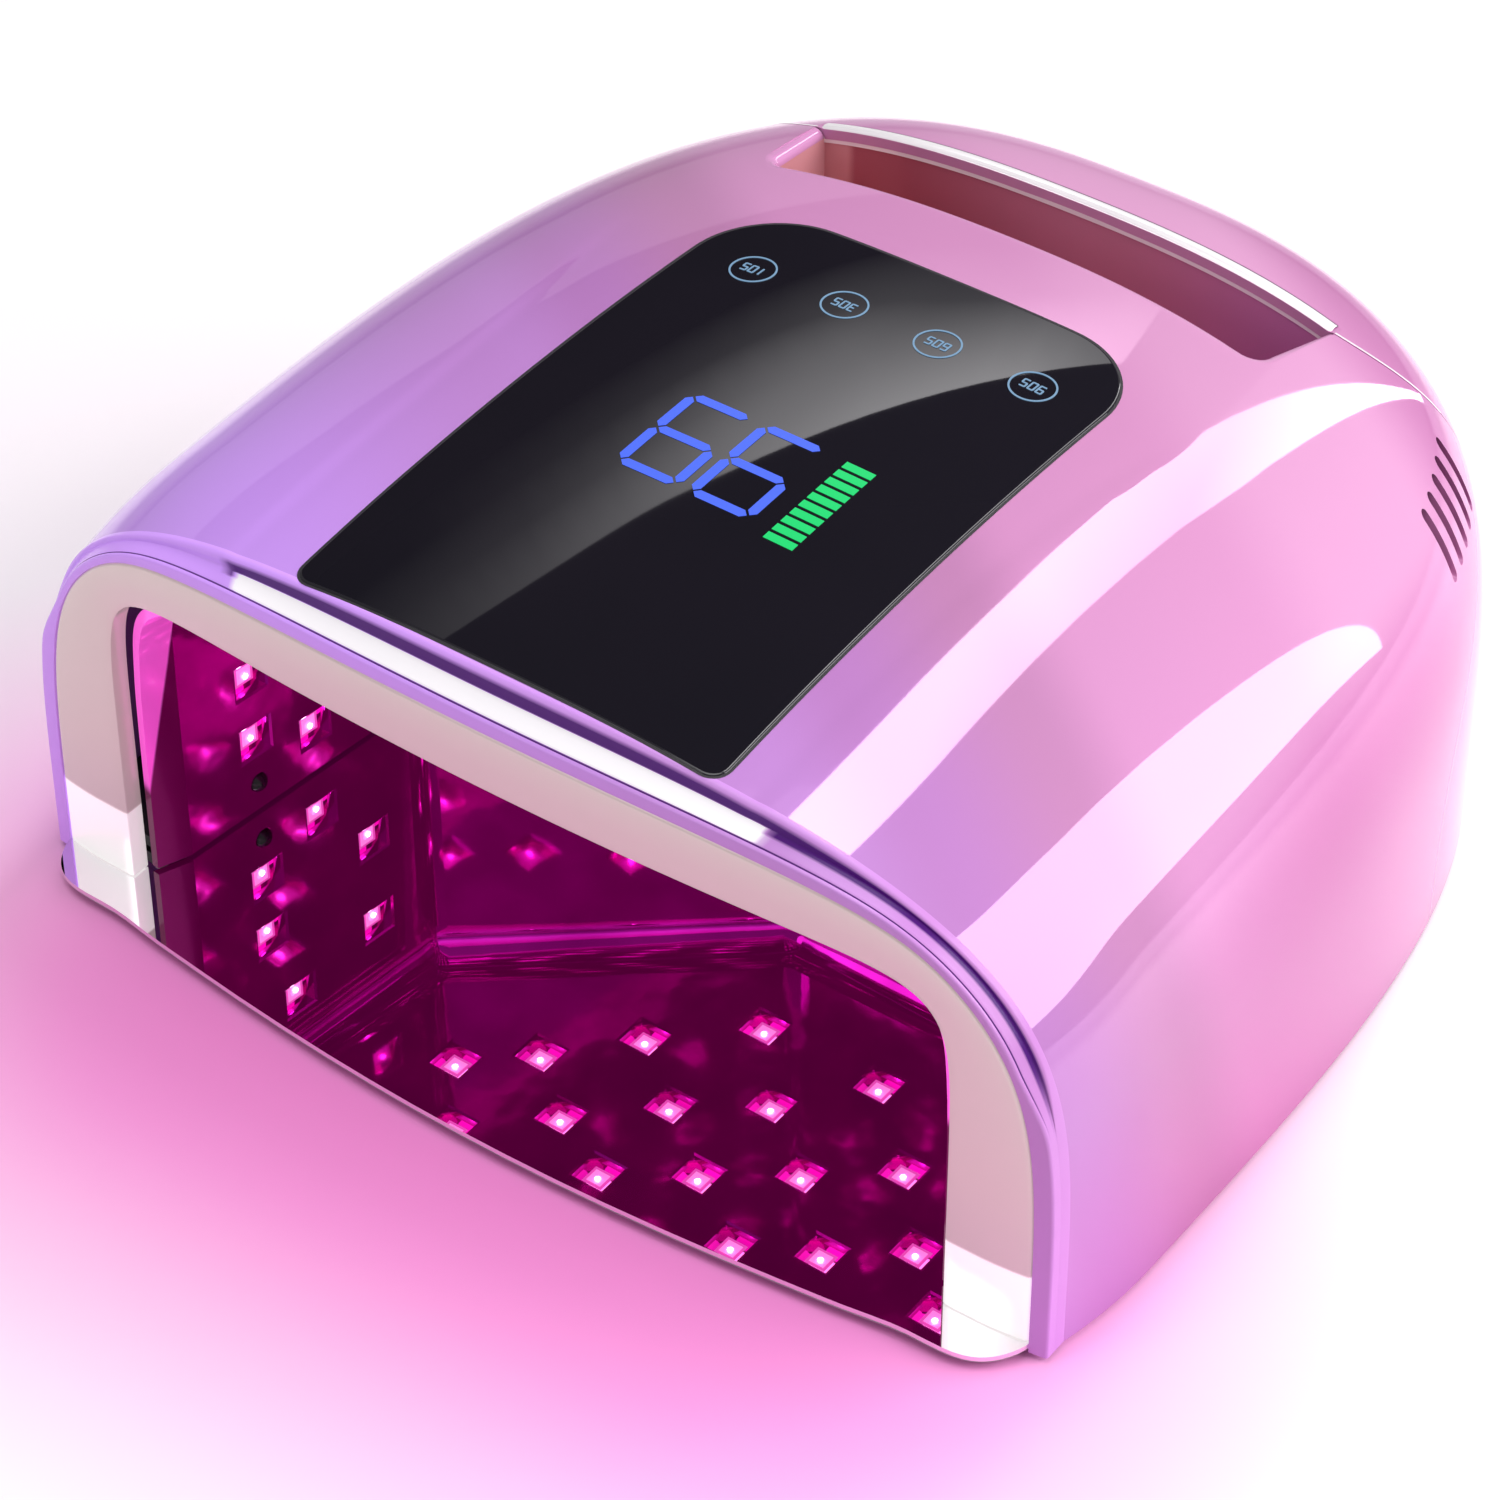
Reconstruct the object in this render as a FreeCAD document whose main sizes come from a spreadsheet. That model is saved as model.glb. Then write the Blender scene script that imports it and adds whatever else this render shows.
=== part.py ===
import FreeCAD, Part
import math
import os

V = FreeCAD.Vector
os.makedirs("parts", exist_ok=True)
doc = FreeCAD.newDocument("gel_lamp")

# ------------------------------------------------------------------ driving dimensions (mm)
DIMENSIONS = [
    ("shell_half_width", 114.75, "widest half width of the hood"),
    ("mouth_half_width", 110.56, "half width of the hood at the mouth"),
    ("wide_station", -65.0, "depth at which the hood is widest"),
    ("mouth_station", -94.0, "depth of the mouth corners"),
    ("shell_rear", 111.0, "theoretical rear of the hood"),
    ("rear_cap", 110.8, "rear face of the hood"),
    ("plan_power", 3.39, "plan rounding exponent"),
    ("crown_height", 104.3, "highest point of the bare hood"),
    ("crown_station", -10.0, "depth of the highest point"),
    ("crown_drop", 0.00078, "parabolic fall of the deck per mm squared"),
    ("fall_station", -25.0, "depth where the rear rounding starts"),
    ("fall_power", 11.8, "rear rounding exponent"),
    ("side_power", 2.7, "section exponent across"),
    ("wall", 2.6, "hood wall"),
    ("front_centre", -101.0, "bezel face on the centre line"),
    ("front_sweep", 7.3, "how far the bezel corners lie back"),
    ("lip_top", 93.8, "top of the raised lip round the bezel"),
    ("step_back", 2.2, "deck edge behind the lip face"),
    ("bezel_half_width", 108.4, "bezel outline half width"),
    ("bezel_top", 91.2, "bezel outline top"),
    ("bezel_depth", 5.0, "bezel thickness"),
    ("opening_half_width", 91.6, "mouth opening half width"),
    ("opening_height", 79.8, "mouth opening height"),
    ("rim_height", 1.4, "underside of the hood rim"),
    ("plate_top", 3.5, "top of the mirror plate"),
    ("plate_thickness", 1.0, "mirror plate thickness"),
    ("pan_bottom", 1.2, "underside of the tray pan"),
    ("foot_diameter", 12.0, "rubber foot diameter"),
    ("foot_height", 1.6, "rubber foot height"),
    ("ceiling_height", 70.0, "reflector ceiling above the floor"),
    ("reflector_wall", 1.6, "reflector thickness"),
    ("window_size", 8.4, "LED window, square"),
    ("chassis_bottom", 4.3, "underside of the chassis"),
    ("chassis_thickness", 2.5, "chassis thickness"),
    ("magnet_diameter", 9.0, "holding magnet diameter"),
    ("magnet_height", 2.2, "holding magnet height"),
    ("touch_board_width", 76.0, "touch board width"),
    ("touch_board_length", 104.0, "touch board length"),
    ("board_thickness", 1.2, "printed board thickness"),
    ("main_board_width", 96.0, "main board width"),
    ("main_board_height", 44.0, "main board height"),
    ("cell_diameter", 18.2, "battery cell diameter"),
    ("cell_length", 65.0, "battery cell length"),
    ("cell_pitch", 19.2, "battery cell pitch"),
    ("fan_size", 30.0, "fan frame side"),
    ("fan_depth", 8.0, "fan frame depth"),
    ("key_pitch", 20.4, "touch key pitch"),
    ("key_radius", 4.5, "touch key ring radius"),
]
sheet = doc.addObject("Spreadsheet::Sheet", "dimensions")
for row, (alias, value, note) in enumerate(DIMENSIONS, start=1):
    sheet.set("A%d" % row, alias)
    sheet.set("B%d" % row, repr(value))
    sheet.set("C%d" % row, note)
    sheet.setAlias("B%d" % row, alias)
doc.recompute()
D = {alias: float(sheet.get(alias)) for alias, value, note in DIMENSIONS}

# ------------------------------------------------------------------ small helpers


def spline(points):
    curve = Part.BSplineCurve()
    curve.interpolate(points)
    return curve.toShape()


def box(x0, x1, y0, y1, z0, z1):
    return Part.makeBox(x1 - x0, y1 - y0, z1 - z0, V(x0, y0, z0))


def rod(radius, start, end):
    start, end = V(*start), V(*end)
    return Part.makeCylinder(radius, (end - start).Length, start, end - start)


def fuse(shapes):
    result = shapes[0]
    return result.multiFuse(shapes[1:]) if len(shapes) > 1 else result


def upright(edges, z0=-5.0, z1=130.0):
    wire = Part.Wire(edges)
    wire.translate(V(0, 0, z0))
    return Part.Face(wire).extrude(V(0, 0, z1 - z0))


def polygon_prism(points, z0, z1):
    corners = [V(x, y, z0) for x, y in points]
    return Part.Face(Part.makePolygon(corners + corners[:1])).extrude(V(0, 0, z1 - z0))


def mirrored(shape):
    return shape.mirror(V(0, 0, 0), V(1, 0, 0))


# ------------------------------------------------------------------ hood surface


def half_width(y, inset):
    rear = D["shell_rear"] - inset
    wide = D["wide_station"]
    if y <= wide:
        run = (wide - y) / (wide - D["mouth_station"])
        return D["shell_half_width"] - (D["shell_half_width"] - D["mouth_half_width"]) * run ** 2 - inset
    run = min((y - wide) / (rear - wide), 0.99999)
    return (D["shell_half_width"] - inset) * (1 - run ** D["plan_power"]) ** (1 / D["plan_power"])


def crown(y, inset):
    rear = D["shell_rear"] - inset
    height = D["crown_height"] - inset - D["crown_drop"] * (y - D["crown_station"]) ** 2
    run = min(max((y - D["fall_station"]) / (rear - D["fall_station"]), 0.0), 0.99999)
    return height * (1 - run ** D["fall_power"]) ** (1 / D["fall_power"])


def top_power(y):
    run = min(max((y - D["mouth_station"]) / (D["shell_rear"] - D["mouth_station"]), 0.0), 1.0)
    return 4.7 + 1.2 * run ** 2


def arch_points(width, height, across, upward, cap=0.0, count=41):
    points = []
    for step in range(count):
        angle = math.pi * step / (count - 1)
        cosine, sine = abs(math.cos(angle)), math.sin(angle)
        low, high = 0.0, 2.0 * max(width, height)
        for _ in range(48):
            radius = (low + high) / 2
            level = (radius * cosine / width) ** across + (radius * sine / height) ** upward
            if cap:
                level += (radius * sine / cap) ** 40
            low, high = (radius, high) if level < 1 else (low, radius)
        points.append((low * math.cos(angle), low * sine))
    return points


def arch_wire(y, points):
    curve = Part.BSplineCurve()
    spacing = [i / (len(points) - 1.0) for i in range(len(points))]
    curve.interpolate(Points=[V(x, y, z) for x, z in points], Parameters=spacing)
    arc = curve.toShape()
    return Part.Wire([arc, Part.makeLine(V(points[-1][0], y, points[-1][1]), V(points[0][0], y, points[0][1]))])


STATIONS = [-106, -94, -80, -60, -40, -20, 0, 20, 40, 55, 68, 78, 86, 93, 98.5, 102.5, 105.5, 107.8, 109.3, 110.3]
hood_cache = {}


def hood(inset):
    if inset not in hood_cache:
        wires = []
        for y in STATIONS + [D["rear_cap"]]:
            if y > 40:
                y = 40 + (y - 40) * (D["shell_rear"] - inset - 40) / (D["shell_rear"] - 40)
            points = arch_points(half_width(y, inset), crown(y, inset), D["side_power"], top_power(y))
            wires.append(arch_wire(y, points))
        hood_cache[inset] = Part.makeLoft(wires, True, False)
    return hood_cache[inset]


def skin(outer, inner, region):
    """The part of the layer between two hood insets that lies inside a region."""
    return hood(outer).common(region).cut(hood(inner))


def arch_prism(width, height, across, upward, cap, y0, y1):
    wire = arch_wire(y0, [(x, z) for x, z in arch_points(width, height, across, upward, cap)])
    return Part.Face(wire).extrude(V(0, y1 - y0, 0))


def front_line(x):
    return D["front_centre"] + D["front_sweep"] * (x / D["bezel_half_width"]) ** 2


def behind(offset, z0=-5.0, z1=130.0):
    xs = [-130 + 10 * i for i in range(27)]
    curve = spline([V(x, front_line(x) + offset, 0) for x in xs])
    left, right = V(-130, front_line(-130) + offset, 0), V(130, front_line(130) + offset, 0)
    edges = [curve, Part.makeLine(right, V(130, 140, 0)), Part.makeLine(V(130, 140, 0), V(-130, 140, 0)),
             Part.makeLine(V(-130, 140, 0), left)]
    return upright(edges, z0, z1)


# ------------------------------------------------------------------ plan outlines


def tray_edge(x):
    r = x / 100.0
    return D["front_plate"] + 10.6 * r ** 2 - 1.6 * r ** 4


D["front_plate"] = -D["rear_cap"]


def tray_outline(inset, z0, z1):
    side = 3.4 + inset
    reach = 103.6 - inset
    corner = (half_width(-88.0, side), -88.0)
    tip = tray_edge(reach) + inset
    front = [V(-corner[0], corner[1], 0), V(-corner[0] + 0.1, -94.0 + inset * 0.3, 0), V(-reach, tip, 0)]
    xs = [-90 + 10 * i for i in range(19)]
    front += [V(x, tray_edge(x) + inset, 0) for x in xs]
    front += [V(reach, tip, 0), V(corner[0] - 0.1, -94.0 + inset * 0.3, 0), V(corner[0], corner[1], 0)]
    rear = D["shell_rear"] - side
    side_points = []
    for i in range(0, 31):
        y = -88.0 + (rear - 0.4 + 88.0) * math.sin(math.pi / 2 * i / 30)
        side_points.append((half_width(y, side), y))
    loop = [V(x, y, 0) for x, y in side_points] + [V(-x, y, 0) for x, y in reversed(side_points)]
    return upright([spline(front), spline(loop)], z0, z1)


def seam(x):
    """Plan line between the upper shell and the rear cover."""
    ax = abs(x)
    bar = 78.0 - 2.2 * (ax / 57.0) ** 2
    return bar if ax <= 57 else 75.8 + 0.012 * (ax - 57) ** 2 + 0.06 * (ax - 57)


def rear_region(offset):
    xs = [-125 + 5 * i for i in range(51)]
    curve = spline([V(x, seam(x) + offset, 0) for x in xs])
    left, right = V(-125, seam(125) + offset, 0), V(125, seam(125) + offset, 0)
    edges = [curve, Part.makeLine(right, V(125, 160, 0)), Part.makeLine(V(125, 160, 0), V(-125, 160, 0)),
             Part.makeLine(V(-125, 160, 0), left)]
    return upright(edges)


def pocket_region(grow, z0, z1):
    front_y = [V(x, 58.0 - 4.0 * (x / 54.0) ** 2 - grow, 0) for x in range(-54, 55, 6)]
    back = [V(x, seam(x) + grow, 0) for x in range(57, -58, -6)]
    front_edge, back_edge = spline(front_y), spline(back)
    right = [V(54, 54 - grow, 0), V(57, back[0].y, 0)]
    if grow:
        right = [front_y[-1], V(56.5 + grow, 58 - grow, 0), V(57.5 + grow, back[0].y, 0), back[0]]
    left = [V(back[-1].x, back[-1].y, 0), V(-54, 54 - grow, 0)]
    if grow:
        left = [back[-1], V(-57.5 - grow, back[-1].y, 0), V(-56.5 - grow, 58 - grow, 0), front_y[0]]
    edges = [front_edge] + [Part.makeLine(a, b) for a, b in zip(right, right[1:])]
    edges += [back_edge] + [Part.makeLine(a, b) for a, b in zip(left, left[1:])]
    return upright(edges, z0, z1)


def panel_region(grow, z0=60.0, z1=130.0):
    """Control panel outline: small front corners, wide rear corners."""
    front, rear, half, tail = -94.0 - grow, 36.0 + grow, 44.6 + grow, 45.6 + grow
    small, large = 3.5, 15.0
    q = math.sqrt(0.5)
    edges = [
        Part.makeLine(V(-half + small, front, 0), V(half - small, front, 0)),
        Part.Arc(V(half - small, front, 0), V(half - small + small * q, front + small - small * q, 0),
                 V(half, front + small, 0)).toShape(),
        Part.makeLine(V(half, front + small, 0), V(tail, rear - large, 0)),
        Part.Arc(V(tail, rear - large, 0), V(tail - large + large * q, rear - large + large * q, 0),
                 V(tail - large, rear, 0)).toShape(),
        Part.makeLine(V(tail - large, rear, 0), V(-tail + large, rear, 0)),
        Part.Arc(V(-tail + large, rear, 0), V(-tail + large - large * q, rear - large + large * q, 0),
                 V(-tail, rear - large, 0)).toShape(),
        Part.makeLine(V(-tail, rear - large, 0), V(-half, front + small, 0)),
        Part.Arc(V(-half, front + small, 0), V(-half + small - small * q, front + small - small * q, 0),
                 V(-half + small, front, 0)).toShape(),
    ]
    return upright(edges, z0, z1)


def trim_region(grow):
    front = spline([V(x, seam(x), 0) for x in range(-57, 58, 6)])
    back = spline([V(x, seam(x) + 3.4 + grow, 0) for x in range(57, -58, -6)])
    ends = [Part.makeLine(V(57, seam(57), 0), V(57, seam(57) + 3.4 + grow, 0)),
            Part.makeLine(V(-57, seam(57) + 3.4 + grow, 0), V(-57, seam(57), 0))]
    return upright([front, ends[0], back, ends[1]], 70, 120)


# ------------------------------------------------------------------ hood solids
nodes = []


def add(name, shape):
    solids = shape.Solids
    if len(solids) == 1:
        shape = solids[0]
    elif solids:
        shape = Part.makeCompound(solids)
    feature = doc.addObject("Part::Feature", name)
    feature.Label = name
    feature.Shape = shape
    feature.Placement = FreeCAD.Placement()
    nodes.append(feature)
    return shape


def keep(feature, name):
    feature.Label = name
    nodes.append(feature)


front_zone = behind(0.0)
lip_limit = box(-130, 130, -130, -60, -5, D["lip_top"])
side_limit = box(-130, 130, -130, -60, -5, 56)
body = hood(0.0).common(behind(D["step_back"]))
lip_band = hood(0.7).common(front_zone.cut(behind(8.0))).common(lip_limit)
side_band = hood(0.0).common(front_zone.cut(behind(8.0))).common(side_limit)
body = fuse([body, lip_band, side_band])

bezel_arch = arch_prism(D["bezel_half_width"] + 0.1, 96.7, 2.7, 4.7, D["bezel_top"] + 0.1, -130, -70)
bezel_slot = bezel_arch.cut(behind(D["bezel_depth"] + 0.1))
back_wall = behind(8.0)
hollow = hood(D["wall"]).common(back_wall)
mouth = arch_prism(94.0, 82.2, 6.0, 6.0, 82.2, -130, -70).common(behind(-30.0).cut(behind(9.0)))
tray_space = tray_outline(-0.45, -2.0, 3.9)
under = box(-130, 130, -130, 130, -5, D["rim_height"])
body = body.cut(hollow)
for tool in (bezel_slot, mouth, tray_space, under):
    body = body.cut(tool)

panel_cut = panel_region(0.15).cut(hood(1.75))
window = box(-36, 36, -62, 25, 60, 130)
pocket_cut = fuse([pocket_region(0.0, 60, 130), box(-56.9, 56.9, 70, 84, 60, 130)])
body = body.cut(panel_cut).cut(window)

# side vents, five upright slots on each side behind the shoulder
slots = []
for i in range(5):
    y = 53.0 + 5.0 * i
    slot = fuse([box(60, 118, y - 1.1, y + 1.1, 66, 80), rod(1.1, (60, y, 66), (118, y, 66)),
                 rod(1.1, (60, y, 80), (118, y, 80))])
    slots += [slot, mirrored(slot)]
for slot in slots:
    body = body.cut(slot)

rear = rear_region(0.0)
upper = body.cut(rear).cut(pocket_cut)
cover = body.common(rear_region(0.12))

# screw bosses inside the upper shell
BOSSES = [(101.0, -34.0), (98.5, 30.0), (99.0, -80.0)]
boss_shapes = []
boss_limit = hood(1.2)
for bx, by in BOSSES:
    for sign in (1, -1):
        post = rod(3.6, (sign * bx, by, 7.2), (sign * bx, by, 110)).common(boss_limit)
        boss_shapes.append(post.cut(rod(1.6, (sign * bx, by, 0), (sign * bx, by, 16))))
upper = fuse([upper] + boss_shapes)
add("upper_shell", upper)

# bar return wall, port recess and trim seat on the rear cover
bar = hood(1.0).common(pocket_region(2.4, 86, 120).common(rear_region(0.12)))
bar = bar.common(box(-56.5, 56.5, 60, 90, 80, 120))
cover = fuse([cover, bar])
seat = trim_region(0.05).cut(hood(1.3))
cover = cover.cut(seat)
JACK, SWITCH = V(-16, 0, 22), V(16, 0, 22)
RECESS = 109.0
cover = cover.cut(box(-27, 29, RECESS, 115, 8.5, 35.5))
port_pad = box(-30, 32, 104.5, RECESS, 7.1, 37.5).common(hood(1.0))
cover = fuse([cover, port_pad])
cover = cover.cut(rod(4.2, (JACK.x, 95, JACK.z), (JACK.x, 115, JACK.z)))
cover = cover.cut(box(SWITCH.x - 6.8, SWITCH.x + 6.8, 95, 115, SWITCH.z - 9.6, SWITCH.z + 9.6))
add("rear_cover", cover)
add("grip_trim", skin(0.0, 1.2, trim_region(0.0)))

liner = pocket_region(2.0, 64.0, 120).cut(pocket_region(0.0, 66.0, 130)).common(hood(2.75))
liner = liner.cut(bar)
add("grip_pocket_liner", liner)

# ------------------------------------------------------------------ bezel
bezel = arch_prism(D["bezel_half_width"], 96.6, 2.7, 4.7, D["bezel_top"], -130, -70)
bezel = bezel.common(front_zone.cut(behind(D["bezel_depth"])))
bezel = bezel.cut(arch_prism(D["opening_half_width"], D["opening_height"], 6.0, 6.0, 80.0, -130, -70))
bezel = bezel.cut(box(-130, 130, -130, -60, -5, 3.8))
add("front_bezel", bezel)

# ------------------------------------------------------------------ reflector
PLAN = [(-86.5, -84.0), (-81.0, -24.0), (-24.0, 24.0), (24.0, 24.0), (81.0, -24.0), (86.5, -84.0)]


def reflector_core(grow, z0):
    points = []
    for x, y in PLAN:
        side = math.copysign(1, x)
        if y > 0:
            points.append((x + side * grow * 0.5, y + grow))
        elif y > -50:
            points.append((x + side * grow, y + grow * 0.5))
        else:
            points.append((x + side * grow, y))
    core = polygon_prism(points, z0, D["ceiling_height"] + grow)
    radius = 8.0 + grow
    top = D["ceiling_height"] + grow
    picked = []
    for edge in core.Edges:
        a, b = edge.Vertexes[0].Point, edge.Vertexes[-1].Point
        if min(a.y, b.y) < -83 and max(a.y, b.y) < -83:
            continue
        if (a - b).Length > 1 and (abs(a.z - top) < 0.01 and abs(b.z - top) < 0.01 or abs(a.x - b.x) < 0.01 and
                                   abs(a.y - b.y) < 0.01 and a.y > -50):
            picked.append(edge)
    core = core.makeFillet(radius, picked)
    flare_front = arch_wire(-100.0, arch_points(92.6 + grow, 81.0 + grow, 6, 6, 81.0 + grow))
    flare_back = arch_wire(-83.9, arch_points(86.3 + grow, 69.9 + grow, 16, 14, 70.0 + grow))
    flare = Part.makeLoft([flare_front, flare_back], True, True)
    return fuse([core, flare])


reflector = reflector_core(D["reflector_wall"], 4.3).cut(reflector_core(0.0, -5.0))
reflector = reflector.common(behind(D["bezel_depth"] + 0.3)).cut(box(-130, 130, -130, 60, -6, 4.3))

CEILING = [(0, -18), (0, -42), (0, -66), (14, -1), (16, -30), (16, -53), (31.5, -17.5), (31.5, -45),
           (45.5, -33.5), (58, -45), (31.5, -69), (47, -60)]
SIDE = [(-66, 21), (-66, 36), (-60, 56), (-51, 14.5), (-38, 29.5), (-38, 51)]
half = D["window_size"] / 2
ceiling_spots = []
for x, y in CEILING:
    ceiling_spots += [(x, y)] if x == 0 else [(x, y), (-x, y)]


def wall_x(y):
    return 86.5 - 5.5 * (y + 84.0) / 60.0


tools = [box(x - half, x + half, y - half, y + half, 69, 73) for x, y in ceiling_spots]
for y, z in SIDE:
    cutter = box(wall_x(y) - 3, wall_x(y) + 5, y - half, y + half, z - half, z + half)
    tools += [cutter, mirrored(cutter)]
sensor = rod(2.2, (78, -66, 10.5), (95, -66, 10.5))
tools += [sensor, mirrored(sensor)]
reflector = reflector.cut(Part.makeCompound(tools))
add("mouth_flare", reflector.common(box(-130, 130, -130, -84.0, -10, 120)))
add("reflector", reflector.common(box(-130, 130, -83.95, 60, -10, 120)))

# ------------------------------------------------------------------ LED boards and LEDs
board = polygon_prism([(-76, -78), (-72, -26), (-22, 16), (22, 16), (72, -26), (76, -78)], 75.2, 76.4)
add("ceiling_led_board", board)
chips, lenses = [], []
for x, y in ceiling_spots:
    chips.append(box(x - 2.5, x + 2.5, y - 2.5, y + 2.5, 74.2, 75.2))
    dome = Part.makeSphere(2.3, V(x, y, 74.0)).common(box(x - 3, x + 3, y - 3, y + 3, 70, 74.2))
    lenses.append(dome)
add("ceiling_led_chips", Part.makeCompound(chips))
add("ceiling_led_lenses", Part.makeCompound(lenses))


def side_plate(x0, x1, y0, y1, z0, z1):
    """A slab parallel to the right reflector wall; x measured outward from its inner face."""
    slope = -5.5 / 60.0
    a, b = wall_x(y0), wall_x(y1)
    face = Part.Face(Part.makePolygon([V(a + x0, y0, z0), V(a + x1, y0, z0), V(b + x1, y1, z0), V(b + x0, y1, z0),
                                       V(a + x0, y0, z0)]))
    return face.extrude(V(0, 0, z1 - z0))


side_board = side_plate(5.2, 6.4, -76, -28, 8, 62)
side_chips, side_lenses = [], []
for y, z in SIDE:
    side_chips.append(side_plate(4.2, 5.2, y - 2.5, y + 2.5, z - 2.5, z + 2.5))
    centre = wall_x(y) + 4.0
    dome = Part.makeSphere(2.3, V(centre, y, z)).common(box(centre - 4, centre - 0.1, y - 3, y + 3, z - 3, z + 3))
    side_lenses.append(dome)
sensor_body = fuse([rod(2.0, (wall_x(-66) + 0.4, -66, 10.5), (wall_x(-66) + 4.95, -66, 10.5)),
                    Part.makeSphere(2.0, V(wall_x(-66) + 0.6, -66, 10.5))])
add("right_led_board", side_board)
add("left_led_board", mirrored(side_board))
add("right_led_chips", Part.makeCompound(side_chips))
add("left_led_chips", mirrored(Part.makeCompound(side_chips)))
add("right_led_lenses", Part.makeCompound(side_lenses))
add("left_led_lenses", mirrored(Part.makeCompound(side_lenses)))
add("presence_receiver", sensor_body)
add("presence_emitter", mirrored(sensor_body))

# ------------------------------------------------------------------ control panel
add("glass_panel", skin(-0.25, 1.5, panel_region(0.0)))
frame = panel_region(-1.0).cut(box(-37.5, 37.5, -63.5, 26.5, 50, 130))
add("panel_adhesive", skin(1.52, 1.72, frame))
ink = box(-48, 48, -60, 30, 90, 120)
ink_layer = hood(-0.37).common(ink).cut(hood(-0.27))


def strokes(segments, width):
    """Straight strokes of one width in plan, from (x0, y0, x1, y1) tuples."""
    prisms = []
    for x0, y0, x1, y1 in segments:
        length = math.hypot(x1 - x0, y1 - y0)
        ux, uy = (x1 - x0) / length * width / 2, (y1 - y0) / length * width / 2
        prisms.append(polygon_prism([(x0 - uy, y0 + ux), (x1 - uy, y1 + ux), (x1 + uy, y1 - ux), (x0 + uy, y0 - ux)],
                                    95, 112))
    return prisms


GLYPHS = {
    "0": [(0, 0, 1, 0), (1, 0, 1, 2), (1, 2, 0, 2), (0, 2, 0, 0)],
    "1": [(0.5, 0, 0.5, 2)],
    "3": [(0, 0, 1, 0), (1, 0, 1, 2), (1, 2, 0, 2), (0.2, 1, 1, 1)],
    "6": [(0, 0, 1, 0), (1, 0, 1, 1), (1, 1, 0, 1), (0, 0, 0, 2), (0, 2, 1, 2)],
    "9": [(0, 0, 1, 0), (1, 0, 1, 2), (1, 2, 0, 2), (0, 2, 0, 1), (0, 1, 1, 1)],
    "S": [(0, 0, 1, 0), (1, 0, 1, 1), (1, 1, 0, 1), (0, 1, 0, 2), (0, 2, 1, 2)],
}


def glyph_strokes(text, centre_x, centre_y, height):
    """Characters that read from behind the lamp: text runs towards -X and stands towards -Y."""
    unit = height / 2.0
    pitch = unit * 1.55
    start = centre_x + (len(text) * pitch - (pitch - unit)) / 2
    result = []
    for index, letter in enumerate(text):
        left = start - index * pitch
        for x0, y0, x1, y1 in GLYPHS[letter]:
            result.append((left - x0 * unit, centre_y + height / 2 - y0 * unit,
                           left - x1 * unit, centre_y + height / 2 - y1 * unit))
    return result


legend_prisms = []
for index, text in enumerate(["10S", "30S", "60S", "90S"]):
    cx = (index - 1.5) * D["key_pitch"]
    ring = Part.makeCylinder(D["key_radius"], 20, V(cx, 17.6, 92))
    legend_prisms.append(ring.cut(Part.makeCylinder(D["key_radius"] - 0.35, 20, V(cx, 17.6, 92))))
    legend_prisms += strokes(glyph_strokes(text, cx, 17.6, 2.2), 0.3)
legends = [ink_layer.common(prism) for prism in legend_prisms]
add("key_legends", fuse([part for part in legends if part.Solids]))

# seven-segment figures: every segment is a bar with pointed ends
digit_prisms = []
for left in (-3.0, 12.6):
    w, h, t, gap = 12.0, 21.5, 1.9, 0.35
    y_base = -21.2

    def segment(xa, ya, xb, yb):
        length = math.hypot(xb - xa, yb - ya)
        ux, uy = (xb - xa) / length, (yb - ya) / length
        s, e, k = gap, length - gap, t / 2
        local = [(s, 0), (s + k, k), (e - k, k), (e, 0), (e - k, -k), (s + k, -k)]
        return polygon_prism([(xa + ux * p - uy * q, ya + uy * p + ux * q) for p, q in local], 95, 112)

    x0, x1 = left, left - w
    y0, ym, y1 = y_base, y_base - h / 2, y_base - h
    for xa, ya, xb, yb in [(x0, y1, x1, y1), (x1, y1, x1, ym), (x1, ym, x1, y0), (x0, y0, x1, y0),
                           (x0, y1, x0, ym), (x0, ym, x1, ym)]:
        digit_prisms.append(segment(xa, ya, xb, yb))
digits = [ink_layer.common(prism) for prism in digit_prisms]
add("lit_digits", Part.makeCompound([solid for part in digits for solid in part.Solids]))

bars = []
for i in range(10):
    y = -45.6 + i * 2.55
    bars += ink_layer.common(polygon_prism([(17.8, y), (23.9, y), (23.9, y + 1.75), (17.8, y + 1.75)], 95, 112)).Solids
add("lit_charge_bar", Part.makeCompound(bars))

# ------------------------------------------------------------------ parametric boxes and cylinders


def param_box(label, size, position):
    item = doc.addObject("Part::Box", label)
    for prop, value in zip(("Length", "Width", "Height"), size):
        if isinstance(value, str):
            item.setExpression(prop, value)
        else:
            setattr(item, prop, value)
    item.Placement = FreeCAD.Placement(V(*position), FreeCAD.Rotation())
    return item


def param_rod(label, radius, height, position, axis=V(0, 0, 1)):
    item = doc.addObject("Part::Cylinder", label)
    for prop, value in (("Radius", radius), ("Height", height)):
        if isinstance(value, str):
            item.setExpression(prop, value)
        else:
            setattr(item, prop, value)
    item.Placement = FreeCAD.Placement(V(*position), FreeCAD.Rotation(V(0, 0, 1), axis))
    return item


def group(label, items):
    item = doc.addObject("Part::Compound", label)
    item.Links = items
    keep(item, label)


touch = param_box("touch_board", ("dimensions.touch_board_width", "dimensions.touch_board_length",
                                  "dimensions.board_thickness"), (-38, -78, 91.6))
keep(touch, "touch_board")
keep(param_box("display_module", (42, 28, 5.2), (-17, -47.5, 92.9)), "display_module")
springs = [param_rod("touch_spring_%d" % i, 2.2, 7.4, ((i - 1.5) * D["key_pitch"], 17.6, 92.9)) for i in range(4)]
group("touch_springs", springs)

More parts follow.
